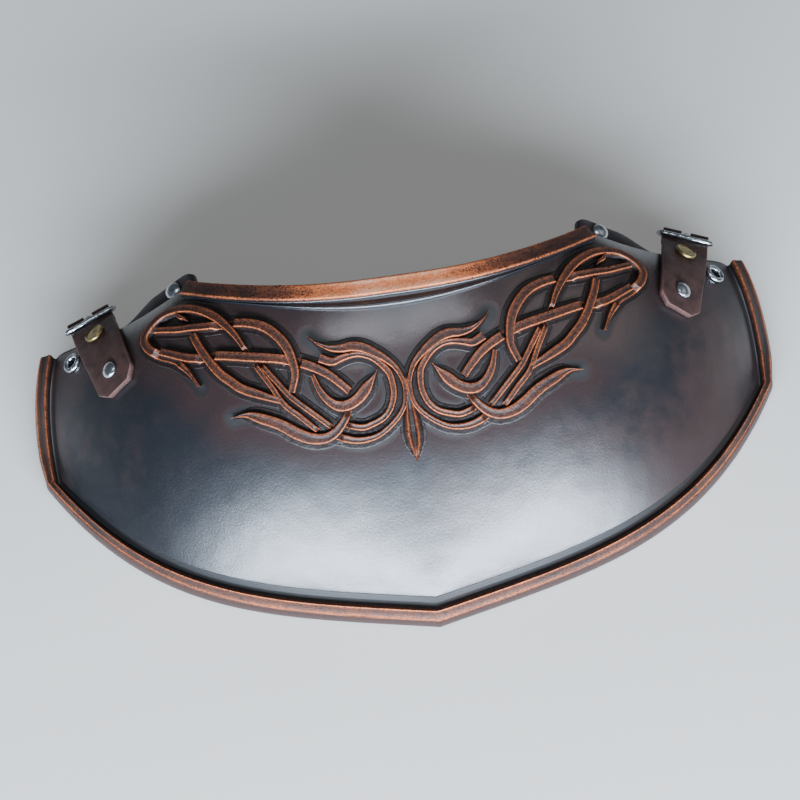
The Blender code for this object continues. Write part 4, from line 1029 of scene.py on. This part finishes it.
class GORGET_OT_neck_border(bpy.types.Operator):
    """Lays the raised band along the neck edge, with the hollow and the round ridge below it"""
    bl_idname = "gorget.neck_border"
    bl_label = "Neck border"

    def execute(self, context):
        form = Form(context.scene)
        relief = form.relief
        sections, rub, bare = [], [], []
        for k in range(NECK_STEPS + 1):
            x = mix(-form.size.neck_half, form.size.neck_half, k / NECK_STEPS)
            slope = (form.upper_edge(x + 0.1 * MM) - form.upper_edge(x - 0.1 * MM)) / (0.2 * MM)
            if k in (0, NECK_STEPS):
                slope = math.copysign(abs(form.upper_edge(x * 0.999) - form.upper_edge(x * 0.997))
                                      / abs(x * 0.002), x)
            inward = Vector((slope, -1)).normalized()
            keep = mix(1, 0.15, smooth(abs(x) / relief.fade_reach))
            # Painted highlight, partly wax: faces carry up to twice the copper in the middle, pale there, and less
            # towards the corners
            worn = 1 - smooth((abs(x) - WAX_AND_HIGHLIGHT_START) / WAX_AND_HIGHLIGHT_OVER)
            marks = (0, relief.band_width, relief.band_width + relief.cove_width * keep,
                     relief.band_width + (relief.cove_width + relief.ridge_width) * keep)
            crown = mix(relief.cove_height, relief.ridge_height, keep)
            lines = [(part, lift * MM * relief.band_height / (3.2 * MM), wax) for part, lift, wax in NECK_BAND]
            lines += [(part, lift * crown, 0.0) for part, lift in NECK_RIDGE]
            section, wax_row = [], []
            for part, lift, wax in lines:
                index = min(int(part), 2)
                distance = mix(marks[index], marks[index + 1], part - index)
                spot = Vector((x, form.upper_edge(x))) + inward * distance
                place = form.lifted(spot.x, spot.y, lift)
                section.append(place + Vector((0, 0, 0.5 * form.waver(place))) * smooth(lift / MM))
                wax_row.append(wax * (mix(0.8, 1.0, worn) if wax > 0.9 else mix(0.5, 2.0, worn)))
            for part in (0.66, 0.33):
                spot = Vector((x, form.upper_edge(x))) + inward * marks[3] * part
                section.append(form.lifted(spot.x, spot.y, -0.4 * MM))
                wax_row.append(0.0)
            sections.append(section)
            rub.append(wax_row)
            bare.append([0.0] * WAXED_POINTS + [1.0] * (len(section) - WAXED_POINTS))
        border = lay_ring("neck_relief", sections, rub=rub, bare=bare)
        give(border, "copper_waxed_leather", "dyed_veg_tan_leather")
        values = border.data.attributes["bare"].data
        for face in border.data.polygons:
            if len(face.vertices) == 4 and min(values[k].value for k in face.vertices) > 0.5:
                face.material_index = 1
        finish_piece(border, "root", ["neck_border"])
        return {"FINISHED"}


# Knotwork

def knot_spot(form, pair):
    """A place on the knot from its shares across and up, seen from above."""
    half = form.size.neck_half + form.relief.knot_past_neck
    top = form.size.neck_corner - form.relief.knot_top_fall
    return Vector((pair[0] * half, top - (1 - pair[1]) * form.relief.knot_length))


def knot_routes(form):
    """Even places along each band of one half, seen from above."""
    routes = {}
    for name, (_, _, pairs) in BANDS.items():
        marks = [knot_spot(form, pair) for pair in pairs]
        marks = [2 * marks[0] - marks[1]] + marks + [2 * marks[-1] - marks[-2]]
        route = []
        for i in range(1, len(marks) - 2):
            before, start, end, after = marks[i - 1:i + 3]
            steps = max(2, round((end - start).length / form.relief.section_step))
            for step in range(steps):
                t = step / steps
                route.append(0.5 * (2 * start + (end - before) * t
                                    + (2 * before - 5 * start + 4 * end - after) * t * t
                                    + (3 * start - before - 3 * end + after) * t ** 3))
        route.append(marks[-2])
        routes[name] = route
    return routes


def half_width_along(halves, part):
    """A band's half width at a share of its length, from its five widths."""
    place = part * (len(halves) - 1)
    index = min(int(place), len(halves) - 2)
    return mix(halves[index], halves[index + 1], smooth(place - index)) * MM


def sunk(form, spot, overs, routes):
    """How far a band sinks at a spot because of the bands that run over it."""
    depth = 0.0
    for over in overs:
        route = routes[over]
        nearest, index = min(((spot - other).length, k) for k, other in enumerate(route))
        clear = half_width_along(BANDS[over][0], index / (len(route) - 1)) + CROSSING_CLEAR
        depth = max(depth, form.relief.crossing_drop * (1 - smooth((nearest - clear) / CROSSING_OVER)))
    return depth


# A band's section, from its outer foot to its middle: what it is measured from (0 foot, 1 top edge, 2 middle),
# the offset in mm outwards from that, its share of the height, extra height in mm, and rubbed copper. The
# first five lay the pressed ledge round it, whose outer step catches the light on the lower sides
BAND_SIDE = ((0, 2.25, 0.0, -0.4, 0.0), (0, 2.1, 0.0, 0.0, 0.0), (0, 1.92, 0.0, 0.24, 0.0), (0, 1.65, 0.0, 0.34, 0.0),
             (0, 1.2, 0.0, 0.3, 0.0), (0, 0.35, 0.05, 0.12, 0.0), (0, 0.02, 0.3, 0.0, 0.1),
             (1, 0.22, 0.72, 0.0, 0.35), (1, 0.04, 1.0, -0.3, 0.9), (1, -0.14, 1.0, -0.05, 1.0),
             (1, -0.36, 1.0, 0.0, 0.58), (2, 0.4, 1.0, -0.22, 0.36), (2, 0.0, 1.0, -0.3, 0.28))


def band_form(form, name, routes):
    """One band of the knot, with its walls, its top and the pressed ledge beside it."""
    halves, overs, _ = BANDS[name]
    route = routes[name]
    sections, rub = [], []
    for i, spot in enumerate(route):
        along = route[min(i + 1, len(route) - 1)] - route[max(i - 1, 0)]
        side = Vector((along.y, -along.x)).normalized()
        half = half_width_along(halves, i / (len(route) - 1))
        top = half * FLAT_TOP
        height = form.relief.knot_height - sunk(form, spot, overs, routes)
        pinch = min(1.0, top / MM)
        section, wax_row = [], []
        for sign, lines in ((-1, BAND_SIDE), (1, BAND_SIDE[-2::-1])):
            for origin, offset, share_up, extra, wax in lines:
                if origin == 0:
                    reach = half + offset * min(half, MM)
                elif origin == 1:
                    reach = top + offset * MM * pinch
                else:
                    reach = top * offset
                    extra = extra * pinch
                where = spot + side * (sign * max(reach, 0.0))
                place = form.lifted(where.x, where.y, share_up * height + extra * MM)
                rough = WALL_CUTS if origin == 0 else TOP_CUTS
                place += form.normal(where.x, where.y) * (rough * MM * noise.noise(place / CUT_SIZE))
                section.append(place)
                wax_row.append(wax)
        sections.append(section)
        rub.append(wax_row)
    return lay_ring(name, sections, rub=rub)


# The spear's outline: share up its length, half width in mm, and how hollow it is in the middle
SPEAR = ((1.0, 0.9, 0.0), (0.90, 1.2, 0.0), (0.78, 1.7, 0.6), (0.62, 2.9, 1.0), (0.48, 4.0, 1.0), (0.34, 4.6, 1.0),
         (0.22, 3.9, 0.7), (0.12, 2.3, 0.1), (0.04, 0.8, 0.0), (0.0, 0.25, 0.0))


def spear_form(form):
    """The hanging spear: two ridges round a hollow, which meet in a point."""
    sections, rub = [], []
    for k in range(SPEAR_STEPS + 1):
        along = 1 - k / SPEAR_STEPS
        for high, low in zip(SPEAR, SPEAR[1:]):
            if high[0] >= along >= low[0]:
                part = (high[0] - along) / (high[0] - low[0])
                half, hollow = mix(high[1], low[1], smooth(part)), mix(high[2], low[2], part)
                break
        spot = knot_spot(form, (0, SPEAR_REACH * along))
        height = form.relief.knot_height * SPEAR_LOW
        section, wax_row = [], []
        ledge = min(half, 1.0)
        for reach, past, share_up, wax in (
                (-1.0, 1.2, -0.15, 0.0), (-1.0, 1.1, 0.0, 0.0), (-1.0, 0.95, 0.09, 0.0), (-1.0, 0.65, 0.12, 0.0),
                (-1.0, 0.1, 0.1, 0.0), (-0.9, 0, 0.3, 0.05), (-0.6, 0, 0.8, 0.35), (-0.45, 0, 1.0, 1.0),
                (-0.33, 0, 0.9 - 0.3 * hollow, 0.6), (-0.2, 0, 0.96 - 0.75 * hollow, 0.3 - 0.3 * hollow),
                (0.0, 0, 1.0 - 0.8 * hollow, 0.8 - 0.8 * hollow)):
            section.append(form.lifted((reach * half - past * ledge) * MM, spot.y, share_up * height))
            wax_row.append(wax)
        mirror = [Vector((-place.x, place.y, place.z)) for place in section[-2::-1]]
        sections.append(section + mirror)
        rub.append(wax_row + wax_row[-2::-1])
    return lay_ring("spear", sections, rub=rub)


class GORGET_OT_knotwork(bpy.types.Operator):
    """Lays the bands of one half over and under each other, mirrors them and adds the spear"""
    bl_idname = "gorget.knotwork"
    bl_label = "Knotwork"

    def execute(self, context):
        form = Form(context.scene)
        routes = knot_routes(form)
        half = join([band_form(form, name, routes) for name in BANDS], "knot_half")
        knot = join([half, mirror_copy(half, "knot_mirror"), spear_form(form)], "knot_relief")
        give(knot, "copper_waxed_leather")
        finish_piece(knot, "root", ["knotwork"])
        return {"FINISHED"}


# Tabs, buckles, rivets and eyelets

def tab_forward(fittings, side):
    return Vector((side * math.sin(fittings.tab_lean), math.cos(fittings.tab_lean)))


def tab_spot(form, fittings, side, distance, across=0.0):
    """A place on the tab's line, seen from above, moved across it on the surface."""
    forward = tab_forward(fittings, side)
    foot = Vector((side * mix(form.size.neck_half, form.size.half_width, fittings.tab_share),
                   form.size.neck_corner - fittings.tab_fall))
    middle = foot + forward * distance
    right = form.seat(middle.x, middle.y, 0, forward).to_3x3().col[0]
    return middle + right.to_2d() * across


def loop_axes(form, fittings, side):
    """Axes of the buckle's middle bar: X along the bar, Y away from the tab, Z out."""
    spot = tab_spot(form, fittings, side, fittings.tab_length)
    return form.seat(spot.x, spot.y, GAP + fittings.tab_thickness / 2, tab_forward(fittings, side))


def along_x(axes):
    """Axes turned so that their Z lies along the X they had."""
    return axes @ Matrix.Rotation(math.radians(90), 4, "Y")


def buckle_axes(form, fittings, side):
    """Axes of the frame, leaned so that its near bar lies on the tab."""
    rise = fittings.tab_thickness / 2 + GAP + fittings.bar_radius
    tilt = math.asin(rise / fittings.buckle_reach)
    return loop_axes(form, fittings, side) @ Matrix.Rotation(-tilt, 4, "X")


def rivet_axes(form, fittings, side, distance):
    spot = tab_spot(form, fittings, side, distance)
    return form.seat(spot.x, spot.y, 0, tab_forward(fittings, side))


def eyelet_axes(form, fittings, side):
    across = fittings.tab_width / 2 + fittings.eyelet_clearance + fittings.eyelet_radius
    spot = tab_spot(form, fittings, side, fittings.eyelet_place, side * across)
    return form.seat(spot.x, spot.y, 0, tab_forward(fittings, side))


# The tab's section: share of its half width, share of its thickness, and how much of the pale cut edge shows, most
# along the edge's top as a painted highlight
TAB_RING = ((-1.0, 0.14, 0.1), (-1.0, 0.5, 0.35), (-1.0, 0.84, 1.0), (-0.985, 0.96, 0.8), (-0.955, 1.0, 0.0),
            (-0.7, 1.0, 0.0), (-0.35, 1.0, 0.0), (0.0, 1.0, 0.0), (0.35, 1.0, 0.0), (0.7, 1.0, 0.0),
            (0.955, 1.0, 0.0), (0.985, 0.96, 0.8), (1.0, 0.84, 1.0), (1.0, 0.5, 0.35), (1.0, 0.14, 0.1),
            (0.97, 0.0, 0.3), (0.5, 0.0, 0.0), (0.0, 0.0, 0.0), (-0.5, 0.0, 0.0), (-0.97, 0.0, 0.3))


def tab_sections(form, fittings, side):
    """Sections of a tab from its cut foot to the fold, and how much of the pale cut edge shows on each point, most
    along the edge's top as a painted highlight.
    """
    loop = loop_axes(form, fittings, side)
    half_full = fittings.tab_width / 2
    plain_steps = [mix(0, fittings.tab_length - fittings.fold_radius, k / TAB_STEPS) for k in range(TAB_STEPS + 1)]
    fold_steps = [fittings.tab_length - fittings.fold_radius * math.cos(math.pi * k / FOLD_STEPS)
                  for k in range(1, FOLD_STEPS + 1)]
    sections, cut_edge = [], []
    for k, distance in enumerate([0.0] + plain_steps + fold_steps):
        first = k == 0
        half = half_full - max(fittings.tab_chamfer * (1 - distance / fittings.tab_chamfer), 0)
        past = distance - fittings.tab_length
        thick = fittings.tab_thickness / 2
        if abs(past) < fittings.fold_radius:
            thick = max(thick if past < 0 else 0.0, math.sqrt(fittings.fold_radius ** 2 - past ** 2))
        elif past > 0:
            thick = 0.05 * MM
        flatness = 1 - smooth((-past - fittings.tab_flat) / fittings.tab_bend)
        section, cut_row = [], []
        for across, part, cut_part in TAB_RING:
            shrink = 0.93 if first else 1.0
            reach = across * half * (0.985 if first else 1.0)
            level = (part - 0.5) * 2 * thick * shrink
            flat = loop @ Vector((reach, past, level))
            if flatness < 1:
                spot = tab_spot(form, fittings, side, distance, reach)
                laid = form.lifted(spot.x, spot.y, GAP + fittings.tab_thickness / 2 + level)
                flat = laid.lerp(flat, flatness)
            if 0 < part < 1 or abs(across) > 0.9:
                waver = 0.0
            else:
                waver = 0.10 * MM * noise.noise(flat / (6 * MM))
            section.append(flat + Vector((0, 0, waver)))
            # Painted highlight: the foot's cut edge is palest at its top and darker further down
            cut_row.append(smooth((part - 0.2) / 0.6) if first else cut_part)
        sections.append(section)
        cut_edge.append(cut_row)
    return sections, cut_edge


class GORGET_OT_tabs(bpy.types.Operator):
    """Lays the leather tabs, folds them round the middle bars and cuts the slots for the tongues"""
    bl_idname = "gorget.tabs"
    bl_label = "Tabs"

    def execute(self, context):
        form = Form(context.scene)
        fittings = plain(context.scene.gorget_fittings)
        for label, side in SIDES.items():
            sections, cut_edge = tab_sections(form, fittings, side)
            tab = lay_ring("strap_tab_" + label, sections, cut=cut_edge)
            loop = loop_axes(form, fittings, side)
            deselect()
            bpy.ops.mesh.primitive_cube_add(size=1)
            slot = bpy.context.object
            reach = 3 * fittings.fold_radius
            scale = Matrix.Diagonal((fittings.slot_width, fittings.slot_depth + reach, 2 * reach, 1))
            slot.matrix_world = loop @ Matrix.Translation((0, (reach - fittings.slot_depth) / 2, 0)) @ scale
            fix_place(slot)
            cut(tab, slot)
            bore = round_bar("bore", fittings.middle_radius + GAP, -fittings.tab_width, fittings.tab_width,
                             along_x(loop))
            cut(tab, bore)
            give(tab, "brown_strap_leather")
            finish_piece(tab, "root", ["tab_" + label])
        return {"FINISHED"}


class GORGET_OT_buckles(bpy.types.Operator):
    """Bends the buckle frames from round bar, hammers them and adds the middle bars and tongues"""
    bl_idname = "gorget.buckles"
    bl_label = "Buckles"

    def execute(self, context):
        form = Form(context.scene)
        fittings = plain(context.scene.gorget_fittings)
        for label, side in SIDES.items():
            axes = buckle_axes(form, fittings, side)
            buckle = buckle_ring(fittings, "buckle_ring_" + label)
            buckle.matrix_world = axes
            fix_place(buckle)
            end = fittings.buckle_half
            bar = round_bar("bar", fittings.middle_radius, -end, end, along_x(axes))
            buckle = join([buckle, bar], "buckle_ring_" + label)
            for point in buckle.data.vertices:
                dent = noise.noise(point.co / DENT_SIZE)
                point.co += point.normal * (DENT_DEPTH * dent)
            give(buckle, "hammered_steel")
            finish_piece(buckle, "buckle_" + label, ["buckle_frame_" + label])
            tongue = tongue_form(fittings, axes, "buckle_pin_" + label)
            give(tongue, "nickel_plated_steel")
            finish_piece(tongue, "tongue_" + label, ["buckle_tongue_" + label])
        return {"FINISHED"}


def buckle_ring(fittings, name):
    """A rounded rectangle of round bar, lying in the XY plane round the middle bar."""
    deselect()
    bpy.ops.mesh.primitive_plane_add(size=1)
    piece = bpy.context.object
    piece.name = name
    piece.scale = (2 * fittings.buckle_half, 2 * fittings.buckle_reach, 1)
    fix_place(piece)
    edit_all(piece)
    bpy.ops.mesh.bevel(offset=fittings.buckle_corner, segments=6, affect="VERTICES")
    on_all(bpy.ops.mesh.delete, type="ONLY_FACE")
    on_all(bpy.ops.mesh.subdivide, number_cuts=3)
    end_edit()
    bpy.ops.object.convert(target="CURVE")
    piece = bpy.context.object
    piece.data.bevel_depth = fittings.bar_radius + fittings.bar_swell
    piece.data.bevel_resolution = 4
    bpy.ops.object.convert(target="MESH")
    piece = bpy.context.object
    close_up(piece)
    return piece


def tongue_form(fittings, axes, name):
    """A pin with an eye round the middle bar, its tip lying on the far bar."""
    bore = fittings.middle_radius + GAP
    wall = bore + MM
    half = fittings.tongue_eye / 2
    edge = 0.25 * MM
    profile = ((bore, -half + edge), (bore + edge, -half), (wall - edge, -half), (wall, -half + edge),
               (wall, half - edge), (wall - edge, half), (bore + edge, half), (bore, half - edge),
               (bore, -half + edge))
    eye = turn_profile(name, profile, along_x(axes), 32)
    start = Vector((0, 0, wall - fittings.tongue_radius / 2))
    end = Vector((0, fittings.buckle_reach + fittings.tongue_past,
                  fittings.bar_radius + GAP + fittings.tongue_radius))
    sections = []
    for part, size in ((0.02, 0.8), (0.2, 1.0), (0.4, 1.0), (0.6, 1.0), (0.8, 1.0), (0.9, 0.95), (0.97, 0.8),
                       (1.0, 0.5)):
        middle = start.lerp(end, part)
        sections.append([axes @ (middle + fittings.tongue_radius * size
                                 * Vector((math.cos(a), 0, math.sin(a))))
                         for a in (2 * math.pi * k / 16 for k in range(16))])
    pin = lay_ring("pin", sections)
    return join([eye, pin], name)


def rivet_profile(fittings, seat, radius, cap, foot):
    """A rivet's line from the back cap's middle to the front cap's middle."""
    back = foot - fittings.back_height
    line = [(0, back), (fittings.back_radius * 0.75, back), (fittings.back_radius * 0.92, back + 0.2 * MM),
            (fittings.back_radius, foot - 0.15 * MM), (fittings.back_radius * 0.98, foot),
            (fittings.shank_radius, foot), (fittings.shank_radius, seat), (radius * 0.97, seat)]
    return line + [(radius * part, seat + lift) for part, lift in cap]


def dome(height):
    """A domed cap's line, as shares of its radius and heights."""
    angles = [math.radians(a) for a in (8, 20, 32, 44, 56, 68, 80, 90)]
    return [(1.0, 0.12 * height)] + [(math.cos(a), height * (0.12 + 0.88 * math.sin(a))) for a in angles]


def disc(height):
    """A flat cap's line: a turned rim round a slightly hollow face."""
    return [(1.0, 0.25 * height), (0.98, 0.62 * height), (0.93, 0.9 * height), (0.86, height),
            (0.79, 0.93 * height), (0.72, 0.82 * height), (0.5, 0.86 * height), (0.25, 0.9 * height),
            (0.0, 0.92 * height)]


def strap_back(form, fittings):
    """How far below the plate's face the back caps lie that hold a strap."""
    return form.size.thickness + fittings.strap_gap + fittings.strap_thickness + fittings.back_gap


def strap_twist(form, fittings, x):
    """How far the strap stands off the rolled shoulder, 1 near the neck and 0 under the tabs."""
    return 1 - smooth((abs(x) - form.size.neck_half - fittings.strap_twist) / fittings.strap_twist)


def strap_rise(form, fittings, x, y):
    """How far the strap is lifted at a place beyond the shoulder edge."""
    return fittings.strap_rise * strap_twist(form, fittings, x) * max(y - form.upper_edge(x), 0.0)


def dome_axes(form, fittings, side):
    """Axes of the rivet on the strap, tilted with the strap."""
    x = side * (form.size.neck_half + fittings.dome_past_neck)
    y = form.upper_edge(x) + fittings.dome_past_edge
    axes = form.seat(x, y, 0, (0, 1))
    axes.translation.z += strap_rise(form, fittings, x, y)
    return axes @ Matrix.Rotation(math.atan(fittings.strap_rise * strap_twist(form, fittings, x)), 4, "X")


class GORGET_OT_rivets(bpy.types.Operator):
    """Spins the brass and steel rivets of the tabs and the domed rivets of the straps"""
    bl_idname = "gorget.rivets"
    bl_label = "Rivets"

    def execute(self, context):
        form = Form(context.scene)
        fittings = plain(context.scene.gorget_fittings)
        thick = form.size.thickness
        under = strap_back(form, fittings)
        tab_top = fittings.tab_thickness + 2 * GAP
        for label, side in SIDES.items():
            table = (
                ("tab_brass_rivet_", rivet_axes(form, fittings, side, fittings.brass_place), tab_top,
                 fittings.brass_radius, disc(fittings.brass_height), -under - fittings.strap_drop,
                 "aged_brass", "tarnished_brass"),
                ("tab_steel_rivet_", rivet_axes(form, fittings, side, fittings.steel_place), tab_top,
                 fittings.steel_radius, dome(fittings.steel_height), -thick - fittings.back_gap,
                 "bright_steel", "nickel_plated_steel"),
                ("shoulder_rivet_", dome_axes(form, fittings, side), -thick,
                 fittings.dome_radius, dome(fittings.dome_height), -under,
                 "bright_steel", "nickel_plated_steel"),
            )
            for name, axes, seat, radius, cap, foot, slot, surface in table:
                rivet = turn_profile(name + "turned_" + label, rivet_profile(fittings, seat, radius, cap, foot), axes)
                give(rivet, surface)
                finish_piece(rivet, "root", [name + label], 40)
        return {"FINISHED"}


class GORGET_OT_eyelets(bpy.types.Operator):
    """Spins the steel eyelets through the plate and the straps"""
    bl_idname = "gorget.eyelets"
    bl_label = "Eyelets"

    def execute(self, context):
        form = Form(context.scene)
        fittings = plain(context.scene.gorget_fittings)
        back = -strap_back(form, fittings) - fittings.strap_drop
        flange, barrel, bore = fittings.eyelet_radius, fittings.eyelet_barrel, fittings.eyelet_bore
        height = fittings.eyelet_height
        profile = [(bore, back - 0.9 * MM), (bore + 0.4 * MM, back - 0.95 * MM),
                   (flange * 0.8, back - 0.8 * MM), (flange * 0.85, back - 0.4 * MM), (flange * 0.82, back),
                   (barrel, back), (barrel, GAP), (flange * 0.98, GAP)]
        middle, reach = (bore + flange) / 2, (flange - bore) / 2
        profile += [(middle + reach * math.cos(a), GAP + height * (0.18 + 0.82 * math.sin(a)))
                    for a in (math.radians(value) for value in range(0, 181, 18))]
        profile += [(bore, -GAP), (bore, back - 0.9 * MM)]
        for label, side in SIDES.items():
            eyelet = turn_profile("turned_eyelet_" + label, profile, eyelet_axes(form, fittings, side), 56)
            give(eyelet, "nickel_plated_steel")
            finish_piece(eyelet, "root", ["eyelet_" + label], 40)
        return {"FINISHED"}


# Straps

# The strap's section: share of its width, share of its thickness, and its cut edge
STRAP_RING = ((0.0, 0.85, 0.6), (0.02, 1.0, 0.0), (0.15, 1.0, 0.0), (0.3, 1.0, 0.0), (0.45, 1.0, 0.0),
              (0.6, 1.0, 0.0), (0.72, 1.0, 0.0), (0.83, 1.0, 0.0), (0.92, 1.0, 0.0), (0.97, 1.0, 0.0),
              (0.99, 0.93, 0.5), (1.0, 0.75, 1.0), (1.0, 0.25, 1.0), (0.99, 0.07, 0.5), (0.97, 0.0, 0.0),
              (0.8, 0.0, 0.0), (0.6, 0.0, 0.0), (0.4, 0.0, 0.0), (0.2, 0.0, 0.0), (0.02, 0.0, 0.0),
              (0.0, 0.15, 0.6))


class GORGET_OT_straps(bpy.types.Operator):
    """Lays the dark straps under the shoulder edges"""
    bl_idname = "gorget.straps"
    bl_label = "Straps"

    def execute(self, context):
        form = Form(context.scene)
        fittings = plain(context.scene.gorget_fittings)
        end = form.half_width(1.0)
        for label, side in SIDES.items():
            sections, cut_edge = [], []
            for k in range(STRAP_STEPS + 1):
                x = mix(form.size.neck_half, end - GAP, (k / STRAP_STEPS) ** STRAP_CROWDING)
                past = max(x - (end - fittings.strap_round), 0) / fittings.strap_round
                overhang = fittings.strap_over + fittings.strap_flare * strap_twist(form, fittings, x)
                start = max(1 - (x - form.size.neck_half) / fittings.strap_start, 0)
                outer_y = form.upper_edge(x) + overhang * math.sqrt(max(1 - past * past, 0) * (1 - start * start))
                inner_x = min(x, form.size.half_width - fittings.strap_inner)
                inner_y = form.upper_edge(x) - fittings.strap_under
                section, cut_row = [], []
                for across, part, cut_part in STRAP_RING:
                    spot = Vector((side * mix(inner_x, x, across), mix(inner_y, outer_y, across)))
                    share_across = abs(form.shares(spot.x, spot.y)[0])
                    drop = fittings.strap_drop * smooth((share_across - DROP_START) / DROP_OVER)
                    level = form.size.thickness + fittings.strap_gap + fittings.strap_thickness * (1 - part)
                    place = form.lifted(spot.x, spot.y, -level) - Vector((0, 0, drop))
                    rise = strap_rise(form, fittings, spot.x, spot.y)
                    rise += 0.12 * MM * noise.noise(place / (9 * MM)) * (across > 0.6)
                    section.append(place + Vector((0, 0, rise)))
                    cut_row.append(cut_part if 0 < k < STRAP_STEPS else 1.0)
                sections.append(section)
                cut_edge.append(cut_row)
            strap = lay_ring("under_strap_" + label, sections, cut=cut_edge)
            axes = eyelet_axes(form, fittings, side)
            cut(strap, round_bar("hole", fittings.eyelet_barrel - GAP, -16 * MM, 0, axes))
            give(strap, "oiled_strap_leather")
            finish_piece(strap, "root", ["shoulder_strap_" + label])
        return {"FINISHED"}


# Stage

def outward(azimuth, elevation):
    """The direction from the gorget to a place seen at an azimuth and elevation, in degrees."""
    a, e = math.radians(azimuth), math.radians(elevation)
    return Vector((math.sin(a) * math.cos(e), -math.cos(a) * math.cos(e), math.sin(e)))


class GORGET_OT_stage(bpy.types.Operator):
    """Sets the floor, the soft lights and the camera"""
    bl_idname = "gorget.stage"
    bl_label = "Stage"

    def execute(self, context):
        form = Form(context.scene)
        deselect()
        bpy.ops.mesh.primitive_grid_add(x_subdivisions=4, y_subdivisions=4, size=8)
        floor = bpy.context.object
        floor.name = "studio_floor"
        give(floor, "matt_floor_paint")

        world = bpy.data.worlds.new("studio_air")
        world.use_nodes = True
        air = world.node_tree.nodes["Background"]
        air.inputs["Color"].default_value = linear("#c8d0da")
        air.inputs["Strength"].default_value = 0.15
        context.scene.world = world

        for name, (azimuth, elevation, reach, wide, high, power, tint) in LAMPS.items():
            out = outward(azimuth, elevation)
            lamp = bpy.data.lights.new(name, "AREA")
            lamp.shape = "RECTANGLE"
            lamp.size = wide
            lamp.size_y = high
            lamp.energy = power
            lamp.color = linear(tint)[:3]
            holder = bpy.data.objects.new(name, lamp)
            context.scene.collection.objects.link(holder)
            holder.location = Vector(LAMP_AIM) + out * reach
            holder.rotation_mode = "QUATERNION"
            holder.rotation_quaternion = (-out).to_track_quat("-Z", "Y")

        view = bpy.data.cameras.new("camera")
        view.lens = 85
        view.sensor_width = 36
        view.shift_x, view.shift_y = (pixels / PICTURE_SIZE for pixels in VIEW_SHIFT)
        view.clip_start = 0.05
        azimuth, elevation, roll = VIEW_ANGLES
        back = outward(azimuth, elevation)
        right = (-back).cross(Vector((0, 0, 1))).normalized()
        level = Matrix((right, right.cross(-back), back)).transposed().to_4x4()
        axes = level @ Matrix.Rotation(math.radians(roll), 4, "Z")
        axes.translation = Vector((0, form.shift, 0)) + back * VIEW_DISTANCE
        camera = bpy.data.objects.new("camera", view)
        context.scene.collection.objects.link(camera)
        camera.matrix_world = axes
        context.scene.camera = camera
        return {"FINISHED"}


class GORGET_PT_panel(bpy.types.Panel):
    """The gorget's sizes, colours and pieces"""
    bl_label = "Gorget"
    bl_idname = "GORGET_PT_panel"
    bl_space_type = "VIEW_3D"
    bl_region_type = "UI"
    bl_category = "Gorget"

    def draw(self, context):
        layout = self.layout
        for operator in OPERATORS:
            layout.operator(operator.bl_idname)
        for key in GROUPS:
            group = getattr(context.scene, key)
            box = layout.box()
            box.label(text=key.replace("_", " ").capitalize())
            for name in group.__annotations__:
                box.prop(group, name)


GROUPS = {"gorget_plate": GorgetPlateSizes, "gorget_relief": GorgetReliefSizes,
          "gorget_fittings": GorgetFittingSizes, "gorget_colours": GorgetColours}
OPERATORS = (GORGET_OT_plate, GORGET_OT_outer_border, GORGET_OT_neck_border, GORGET_OT_knotwork,
             GORGET_OT_straps, GORGET_OT_tabs, GORGET_OT_buckles, GORGET_OT_rivets, GORGET_OT_eyelets,
             GORGET_OT_stage)


def register():
    for group in GROUPS.values():
        bpy.utils.register_class(group)
    for key, group in GROUPS.items():
        setattr(bpy.types.Scene, key, PointerProperty(type=group))
    for operator in OPERATORS:
        bpy.utils.register_class(operator)
    bpy.utils.register_class(GORGET_PT_panel)


def unregister():
    bpy.utils.unregister_class(GORGET_PT_panel)
    for operator in reversed(OPERATORS):
        bpy.utils.unregister_class(operator)
    for key, group in GROUPS.items():
        delattr(bpy.types.Scene, key)
        bpy.utils.unregister_class(group)


def main():
    register()
    for operator in OPERATORS:
        section, name = operator.bl_idname.split(".")
        getattr(getattr(bpy.ops, section), name)()


if __name__ == "__main__":
    main()
